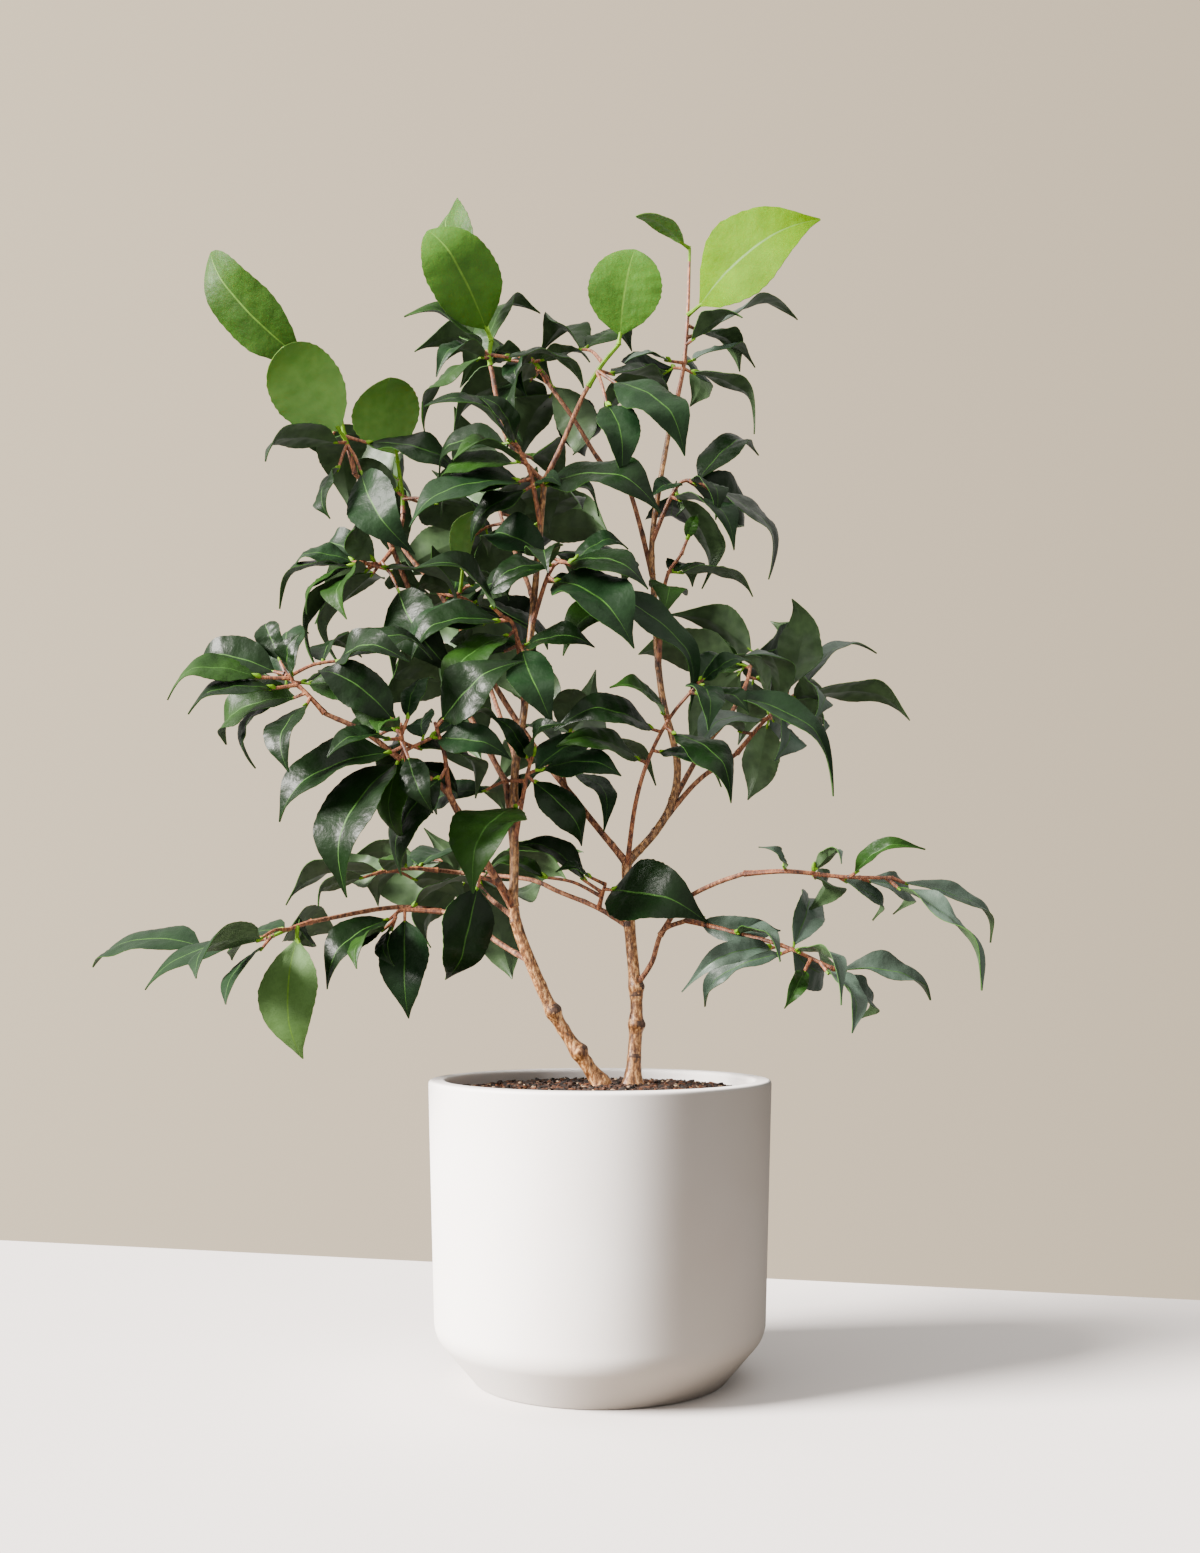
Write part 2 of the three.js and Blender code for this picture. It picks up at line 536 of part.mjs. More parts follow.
// The largest closed shell of a body: a loose scrap is dropped and a sealed hollow is filled.
function largestShell(body) {
  const mesh = body.getMesh();
  const { triVerts, vertProperties, numProp } = mesh;
  const parent = new Map();
  const find = (v) => {
    let top = v;
    while (parent.get(top) !== top) top = parent.get(top);
    parent.set(v, top);
    return top;
  };
  for (const v of triVerts) if (!parent.has(v)) parent.set(v, v);
  for (let t = 0; t < triVerts.length; t += 3) {
    parent.set(find(triVerts[t]), find(triVerts[t + 1]));
    parent.set(find(triVerts[t + 1]), find(triVerts[t + 2]));
  }
  const corner = (v) => vec(...vertProperties.slice(v * numProp, v * numProp + 3));
  const shells = new Map();
  for (let t = 0; t < triVerts.length; t += 3) {
    const key = find(triVerts[t]);
    if (!shells.has(key)) shells.set(key, { volume: 0, triangles: [] });
    const shell = shells.get(key);
    const [a, b, c] = [0, 1, 2].map((k) => corner(triVerts[t + k]));
    shell.volume += a.dot(b.cross(c)) / 6;
    shell.triangles.push(triVerts[t], triVerts[t + 1], triVerts[t + 2]);
  }
  const biggest = [...shells.values()].sort((p, q) => q.volume - p.volume)[0];
  const renumber = new Map();
  const positions = [];
  const triangles = biggest.triangles.map((v) => {
    if (!renumber.has(v)) {
      renumber.set(v, renumber.size);
      const spot = corner(v);
      positions.push(spot.x, spot.y, spot.z);
    }
    return renumber.get(v);
  });
  return { positions, triangles };
}

// ---------------------------------------------------------------- pot and soil
function potSolid() {
  const inner = POT_RIM_RADIUS - POT_RIM_WALL;
  return turned([
    [0, 0], [POT_FOOT_RADIUS, 0], [POT_SHOULDER_RADIUS, POT_SHOULDER_HEIGHT],
    [POT_RIM_RADIUS, POT_HEIGHT - POT_EDGE_ROUND], [POT_RIM_RADIUS - POT_EDGE_ROUND, POT_HEIGHT],
    [inner + POT_EDGE_ROUND, POT_HEIGHT], [inner, POT_HEIGHT - POT_EDGE_ROUND],
    [inner - 6, POT_SHOULDER_HEIGHT + 6], [POT_FOOT_RADIUS - 8, POT_FLOOR], [0, POT_FLOOR],
  ]);
}

function soilSolid() {
  const inner = POT_RIM_RADIUS - POT_RIM_WALL;
  const lowWall = POT_SHOULDER_HEIGHT + 6;
  const rise = (SOIL_EDGE - lowWall) / (POT_HEIGHT - POT_EDGE_ROUND - lowWall);
  return turned([
    [0, POT_FLOOR + GAP], [POT_FOOT_RADIUS - 8 - GAP, POT_FLOOR + GAP],
    [inner - 6 - GAP * 1.3, lowWall + GAP], [inner - 6 + 6 * rise - GAP * 1.3, SOIL_EDGE],
    [inner * 0.72, SOIL_TOP - 1], [SOIL_FLAT_RADIUS, SOIL_TOP],
    [0, SOIL_TOP],
  ]);
}

// ---------------------------------------------------------------- stems and boughs
const guide = (points) => points.map((p) => vec(...p));

function limbPath(limb) {
  const own = guide(limb.path);
  if (!limb.from) return own;
  const [parentName, share] = limb.from;
  return [alongPath(limbPath(LIMBS[parentName]), share).point, ...own];
}

function limbRadius(limb, share) {
  let radius = (limb.foot + (limb.tip - limb.foot) * share) / 2;
  if (limb.flare) radius *= 1 + (limb.flare - 1) * Math.exp(-share * 18);
  for (const [place, growth] of limb.knots ?? []) {
    radius *= 1 + (growth - 1) * Math.exp(-(((share - place) / 0.035) ** 2));
  }
  return radius;
}

// margin: how far the tube stands outside the limb's own bark, all round and past both ends.
function limbSolid(limb, margin = 0) {
  const points = limbPath(limb);
  const sides = limb.from ? 6 : 10;
  const steps = limb.knots ? 18 : Math.max(3, Math.round((points.length - 1) * 1.6));
  const centres = [];
  const radii = [];
  for (let step = 0; step <= steps; step += 1) {
    const share = step / steps;
    const { point, direction } = alongPath(points, share);
    if (step === 0) point.addScaledVector(direction, -margin);
    if (step === steps) point.addScaledVector(direction, margin);
    centres.push(point);
    radii.push(limbRadius(limb, share) + margin * 1.1);
  }
  return tube(centres, radii, sides, !limb.from);
}

// ---------------------------------------------------------------- leaves and twigs
// The face of a leaf looks up and away from the middle of the crown, as square to its run as can be.
function leafNormal(base, direction) {
  const outward = vec(base.x * 0.6, base.y - 20, 0).multiplyScalar(1 / 140);
  outward.clampLength(0, 1);
  const face = UP.clone().multiplyScalar(0.75).add(outward);
  if (base.y < 20) face.y -= 0.35;
  face.addScaledVector(direction, -face.dot(direction));
  return face.normalize();
}

// Twig running into a leaf that is keeled along its midrib and bowed over towards its tip.
// stalk: centres of the twig from its root to just before the leaf's base.
function leafSolid(leaf, margin = 0) {
  const { stalk, base, tip, normal, width } = leaf;
  const direction = tip.clone().sub(base).normalize();
  const length = tip.distanceTo(base);
  const positions = [];
  const addRing = (centre, forward, half, keel, lift) => {
    const side = forward.clone().cross(normal).normalize();
    const face = side.clone().cross(forward);
    [[half, lift], [-half, lift], [0, -keel]].forEach(([across, rise]) => {
      const spot = centre.clone().addScaledVector(side, across).addScaledVector(face, rise);
      positions.push(spot.x, spot.y, spot.z);
    });
  };
  stalk.forEach((centre, k) => {
    const next = k < stalk.length - 1 ? stalk[k + 1] : base;
    const round = TWIG_RADIUS + margin;
    addRing(centre, next.clone().sub(centre).normalize(), round, round, round * 0.7);
  });
  const stations = length < SMALL_LEAF ? SMALL_LEAF_STATIONS : LEAF_STATIONS;
  stations.forEach(([share, wide, fat]) => {
    const middle = base.clone()
      .addScaledVector(direction, length * share)
      .addScaledVector(normal, LEAF_BOW * length * 4 * share * (1 - share));
    const half = Math.max((width / 2) * wide, TWIG_RADIUS) + margin;
    addRing(middle, direction, half, (LEAF_THICKNESS / 2) * fat + margin, half * LEAF_FOLD + margin + 0.5);
  });
  const end = tip.clone().addScaledVector(direction, margin);
  positions.push(end.x, end.y, end.z);
  const rings = stalk.length + stations.length;
  const triangles = [0, 1, 2];
  for (let ring = 0; ring < rings - 1; ring += 1) {
    for (let k = 0; k < 3; k += 1) {
      const a = ring * 3 + k;
      const b = ring * 3 + ((k + 1) % 3);
      triangles.push(a, a + 3, b + 3, a, b + 3, b);
    }
  }
  const last = (rings - 1) * 3;
  for (let k = 0; k < 3; k += 1) triangles.push(last + k, last + 3, last + ((k + 1) % 3));
  return solid(positions, triangles);
}

// Leaves of one shoot: the last one ends at the shoot's tip, the others are dealt round its twig.
function shootLeaves(start, row, random) {
  const [, x, y, z, count, length, turn, , broad = LEAF_WIDTH_SHARE] = row;
  const tip = vec(x, y, z);
  const run = tip.clone().sub(start);
  const own = Math.min(length, run.length() * 0.9);
  const direction = run.clone().normalize();
  const twigEnd = tip.clone().addScaledVector(direction, -own);
  const crest = blend(start, twigEnd, 0.5).addScaledVector(UP, start.distanceTo(twigEnd) * TWIG_ARCH);
  const stalk = start.distanceTo(twigEnd) < SHORT_TWIG ? [start] : [start, crest];
  const leaves = [{ stalk, base: twigEnd, tip, length: own }];
  const across = direction.clone().cross(UP).normalize();
  const over = across.clone().cross(direction);
  for (let k = 0; k < count - 1; k += 1) {
    const share = 0.95 - (0.65 * k) / Math.max(count - 1, 1);
    const angle = THREE.MathUtils.degToRad(turn + k * GOLDEN_TURN + random() * 30);
    const spread = THREE.MathUtils.degToRad(WHORL_SPREAD + random() * 16);
    const away = across.clone().multiplyScalar(Math.cos(angle)).addScaledVector(over, Math.sin(angle));
    const lean = direction.clone().multiplyScalar(Math.cos(spread)).addScaledVector(away, Math.sin(spread));
    lean.z -= LEAF_DROOP;
    lean.normalize();
    const root = share < 0.5 ? blend(start, crest, share * 2) : blend(crest, twigEnd, share * 2 - 1);
    const base = root.clone().addScaledVector(lean, 6);
    const size = length * (0.8 + random() * 0.2);
    leaves.push({ stalk: [root], base, tip: base.clone().addScaledVector(lean, size), length: size });
  }
  leaves.forEach((leaf, k) => {
    const along = leaf.tip.clone().sub(leaf.base).normalize();
    leaf.normal = leafNormal(leaf.base, along);
    if (k === 0) leaf.normal.applyAxisAngle(along, THREE.MathUtils.degToRad(turn));
    leaf.width = leaf.length * broad;
  });
  return leaves;
}

// ---------------------------------------------------------------- growing
const standing = [];

function boxOf(body) {
  const { vertProperties, numProp } = body.getMesh();
  const box = new THREE.Box3();
  for (let v = 0; v < vertProperties.length; v += numProp) {
    box.expandByPoint(vec(vertProperties[v], vertProperties[v + 1], vertProperties[v + 2]));
  }
  return box;
}

function remember(body) {
  standing.push({ body, box: boxOf(body) });
}

function isClear(body, others = standing) {
  const box = boxOf(body);
  return others.every((other) => !other.box.intersectsBox(box) || isEmpty(body.intersect(other.body)));
}

function growLimb(name) {
  let body = limbSolid(LIMBS[name]);
  for (const other of standing) {
    if (other.box.intersectsBox(boxOf(body))) body = body.subtract(other.body);
  }
  const shell = largestShell(body);
  remember(limbSolid(LIMBS[name], GAP));
  return shell;
}

const SIDESTEPS = [0, 10, -10, 20, -20, 32, -32];

function growFoliage(mass, seed) {
  const random = seeded(seed);
  const [limbName, place] = mass.on;
  const foot = alongPath(limbPath(LIMBS[limbName]), place).point;
  const path = [foot, ...guide(mass.stem)];
  const steps = 2 * (path.length - 1);
  const centres = [];
  const radii = [];
  for (let step = 0; step <= steps; step += 1) {
    centres.push(alongPath(path, step / steps).point);
    radii.push(SPRAY_STEM_RADIUS * (1 - (0.3 * step) / steps));
  }
  let body = tube(centres, radii, 4);
  for (const other of standing) body = body.subtract(other.body);
  const grown = [];
  const fits = (leaf) => {
    if (leaf.tip.distanceTo(foot) > mass.reach) return false;
    const roomy = leafSolid(leaf, LEAF_CLEARANCE);
    const blade = leafSolid({ ...leaf, stalk: leaf.stalk.slice(1) }, LEAF_CLEARANCE);
    return isClear(roomy) && isClear(blade, grown);
  };
  const keep = (leaf) => {
    const blade = leafSolid({ ...leaf, stalk: [] });
    grown.push({ body: blade, box: boxOf(blade) });
    body = body.add(leafSolid(leaf));
  };
  for (const row of mass.shoots) {
    const start = alongPath(path, 0.3 + row[0] * 0.7).point;
    for (const step of SIDESTEPS) {
      const moved = [...row];
      moved[2] += step;
      const [endLeaf, ...sideLeaves] = shootLeaves(start, moved, random);
      if (!fits(endLeaf)) continue;
      keep(endLeaf);
      sideLeaves.filter(fits).forEach(keep);
      break;
    }
  }
  const shell = largestShell(body);
  remember(solid(shell.positions, shell.triangles));
  return shell;
}

// ---------------------------------------------------------------- materials and pieces
const POT_PLASTER = { color: "#e9e7e2", roughness: 0.7 };
const SOIL_CRUMB = { color: "#3a2a20", roughness: 1 };
const OLD_BARK = { color: "#a87f5c", roughness: 0.85 };
const YOUNG_BARK = { color: "#7d4a33", roughness: 0.7 };
const OLD_LEAF = { color: "#24482c", roughness: 0.35 };
const YOUNG_LEAF = { color: "#5a8f42", roughness: 0.4 };

const group = new THREE.Group();

function addPiece(name, shell, look) {
  const geometry = new THREE.BufferGeometry();
  geometry.setAttribute("position", new THREE.Float32BufferAttribute(shell.positions, 3));
  geometry.setIndex(shell.triangles);
  geometry.computeVertexNormals();
  const mesh = new THREE.Mesh(geometry, new THREE.MeshStandardMaterial(look));
  mesh.name = name;
  group.add(mesh);
}

addPiece("pot", largestShell(potSolid()), POT_PLASTER);
addPiece("soil", largestShell(soilSolid()), SOIL_CRUMB);
for (const name of Object.keys(LIMBS)) {
  addPiece(name, growLimb(name), LIMBS[name].from ? YOUNG_BARK : OLD_BARK);
}
remember(potSolid());
remember(soilSolid());
Object.entries(FOLIAGE).forEach(([name, mass], index) => {
  addPiece(name, growFoliage(mass, 100 + index), mass.young ? YOUNG_LEAF : OLD_LEAF);
});

export default group;
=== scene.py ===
"""Potted camellia shrub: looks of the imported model.

Sizes are millimetres in the tables and metres in the meshes. The shrub grows by the rule that also
shapes the plain solids: stems divide into boughs, each bough carries a mass of foliage, and every
shoot of a mass has one leaf at its tip and the others dealt round its twig.
"""
import math

import bpy
import numpy as np
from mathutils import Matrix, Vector, noise
from mathutils.bvhtree import BVHTree


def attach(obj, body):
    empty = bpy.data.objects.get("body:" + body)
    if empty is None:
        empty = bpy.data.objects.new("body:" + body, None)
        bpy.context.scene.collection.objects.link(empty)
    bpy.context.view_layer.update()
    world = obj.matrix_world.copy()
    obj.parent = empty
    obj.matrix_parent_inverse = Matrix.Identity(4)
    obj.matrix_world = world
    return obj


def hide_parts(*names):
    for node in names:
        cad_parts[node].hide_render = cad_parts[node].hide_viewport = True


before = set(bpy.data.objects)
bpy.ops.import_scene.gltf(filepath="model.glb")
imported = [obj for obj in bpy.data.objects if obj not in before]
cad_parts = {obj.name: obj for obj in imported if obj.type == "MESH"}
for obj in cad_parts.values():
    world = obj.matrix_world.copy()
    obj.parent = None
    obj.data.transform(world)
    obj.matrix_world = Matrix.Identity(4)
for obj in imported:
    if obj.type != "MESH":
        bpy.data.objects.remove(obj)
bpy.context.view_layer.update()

MM = 0.001
GAP = 0.3
FULL_TURN = 6.28

# ---- pot and soil sizes
POT_HEIGHT = 210
POT_RIM_RADIUS = 125
POT_RIM_WALL = 13
POT_SHOULDER_RADIUS = 118.5
POT_SHOULDER_HEIGHT = 32
POT_FOOT_RADIUS = 90
POT_FLOOR = 14
POT_INNER_RADIUS = POT_RIM_RADIUS - POT_RIM_WALL
SOIL_TOP = 206
SOIL_EDGE = 202
SOIL_FLAT_RADIUS = 45

# ---- leaf and twig sizes
LEAF_THICKNESS = 2
LEAF_WIDTH_SHARE = 0.56
LEAF_FOLD = 0.1
LEAF_BOW = 0.1
LEAF_CLEARANCE = 0.35
LEAF_STATIONS = ((0, 0, 1), (0.36, 1, 1), (0.72, 0.72, 0.9))
SMALL_LEAF = 62
SMALL_LEAF_STATIONS = ((0, 0, 1), (0.48, 1, 1))
TWIG_RADIUS = 1.1
TWIG_ARCH = 0.08
SHORT_TWIG = 26
STALK_LENGTH = 6
# side leaves stand from here on the twig down over this share of it, each turned on from the last
TOP_LEAF_SHARE = 0.95
LEAFY_SHARE = 0.65
GOLDEN_TURN, TURN_CHANCE = 137.5, 30
WHORL_SPREAD, SPREAD_CHANCE = 52, 16
LEAF_DROOP = 0.28
# share of a mass's stem, from its limb, that is bare but for shoots with a share below 0
BARE_SHARE = 0.3
SIDESTEPS = (0, 10, -10, 20, -20, 32, -32)

# ---- limbs
# the limb it leaves and the share along it, diameters at foot and tip, guide points
LIMBS = {
    "stem_left": (None, 0, 9.6, 8,
        (0, 4, 206.3), (-16, 0, 229), (-33, -2, 256), (-47, -4, 285), (-60, -7, 318), (-64, -8, 336)),
    "stem_right": (None, 0, 10, 7.8,
        (24, 10, 206.3), (26, 11, 237), (27, 12, 267), (24, 13, 300), (21, 15, 340), (20, 16, 369)),
    "leader_left": ("stem_left", 1, 7, 4.4,
        (-63, -10, 371), (-63, -15, 432), (-56, -18, 481), (-52, -20, 530), (-48, -20, 576),
        (-42, -15, 655)),
    "leader_right": ("stem_right", 1, 6.6, 3.6,
        (42, 22, 393), (55, 26, 417), (59, 30, 449), (47, 34, 506), (42, 34, 580), (41, 30, 626),
        (53, 28, 702), (60, 26, 732)),
    "bough_left": ("stem_left", 1, 6, 4.2,
        (-83, -25, 367), (-102, -45, 402), (-112, -55, 418), (-136, -65, 433)),
    "bough_left_far": ("bough_left", 1, 4.2, 3.4,
        (-165, -75, 455), (-193, -80, 468)),
    "bough_back_left": ("leader_left", 0.16, 5, 3.4,
        (-70, 5, 424), (-77, 12, 440), (-122, 35, 524), (-153, 40, 593), (-180, 30, 659),
        (-191, 25, 673)),
    "bough_cross": ("stem_right", 1, 5.2, 3.4,
        (-14, 30, 412), (-57, 48, 470), (-101, 70, 542), (-131, 78, 593), (-160, 80, 630),
        (-160, 80, 657)),
    "bough_top_left": ("leader_left", 1, 3.8, 3.2,
        (-50, -17, 662), (-71, -20, 689), (-83, -20, 744)),
    "bough_top_mid": ("leader_left", 1, 3.8, 3.2,
        (-29, -18, 682), (-15, -20, 715), (-9, -20, 727)),
    "bough_heart": ("leader_right", 0.66, 3.8, 3.2,
        (22, 45, 669), (1, 50, 690), (-22, 55, 729), (-43, 58, 760)),
    "bough_right": ("leader_right", 0.17, 4.2, 3.4,
        (76, 38, 434), (107, 55, 457)),
    "bough_low_right": ("stem_right", 0.46, 4, 3.4,
        (38, 2, 294), (46, -8, 317), (63, -20, 325)),
    "bough_arch": ("bough_low_right", 0.62, 3.6, 3.2,
        (60, -24, 338), (81, -38, 350), (102, -55, 357)),
    "bough_low_left": ("stem_left", 0.66, 4.2, 3.4,
        (-77, 12, 310), (-102, 28, 328), (-156, 55, 337), (-217, 20, 325)),
    "bough_inner": ("stem_right", 0.7, 3.8, 3.2,
        (-1, 22, 335), (-31, 36, 348), (-55, 45, 358), (-104, 70, 364), (-127, 62, 366)),
    "bough_rear_left": ("leader_left", 0.3, 4.2, 3.4,
        (-66, 40, 452), (-80, 96, 490), (-92, 134, 524)),
    "bough_rear_right": ("leader_right", 0.22, 4.2, 3.4,
        (80, 66, 460), (104, 104, 492), (120, 136, 520)),
    "bough_rear_low": ("stem_left", 0.82, 4.2, 3.4,
        (-68, 36, 330), (-86, 84, 344), (-98, 120, 356)),
    "bough_rear_high": ("leader_left", 0.7, 4, 3.4,
        (-52, 20, 572), (-64, 70, 612), (-76, 110, 646)),
}
# the two stems that stand in the soil: share along each and growth of its diameter there
KNOTS = {
    "stem_left": ((0.2, 1.25), (0.42, 1.2)),
    "stem_right": ((0.28, 1.18), (0.46, 1.15)),
}
KNOT_SPREAD = 0.035
ROOT_FLARE, FLARE_FADE = 1.45, 18

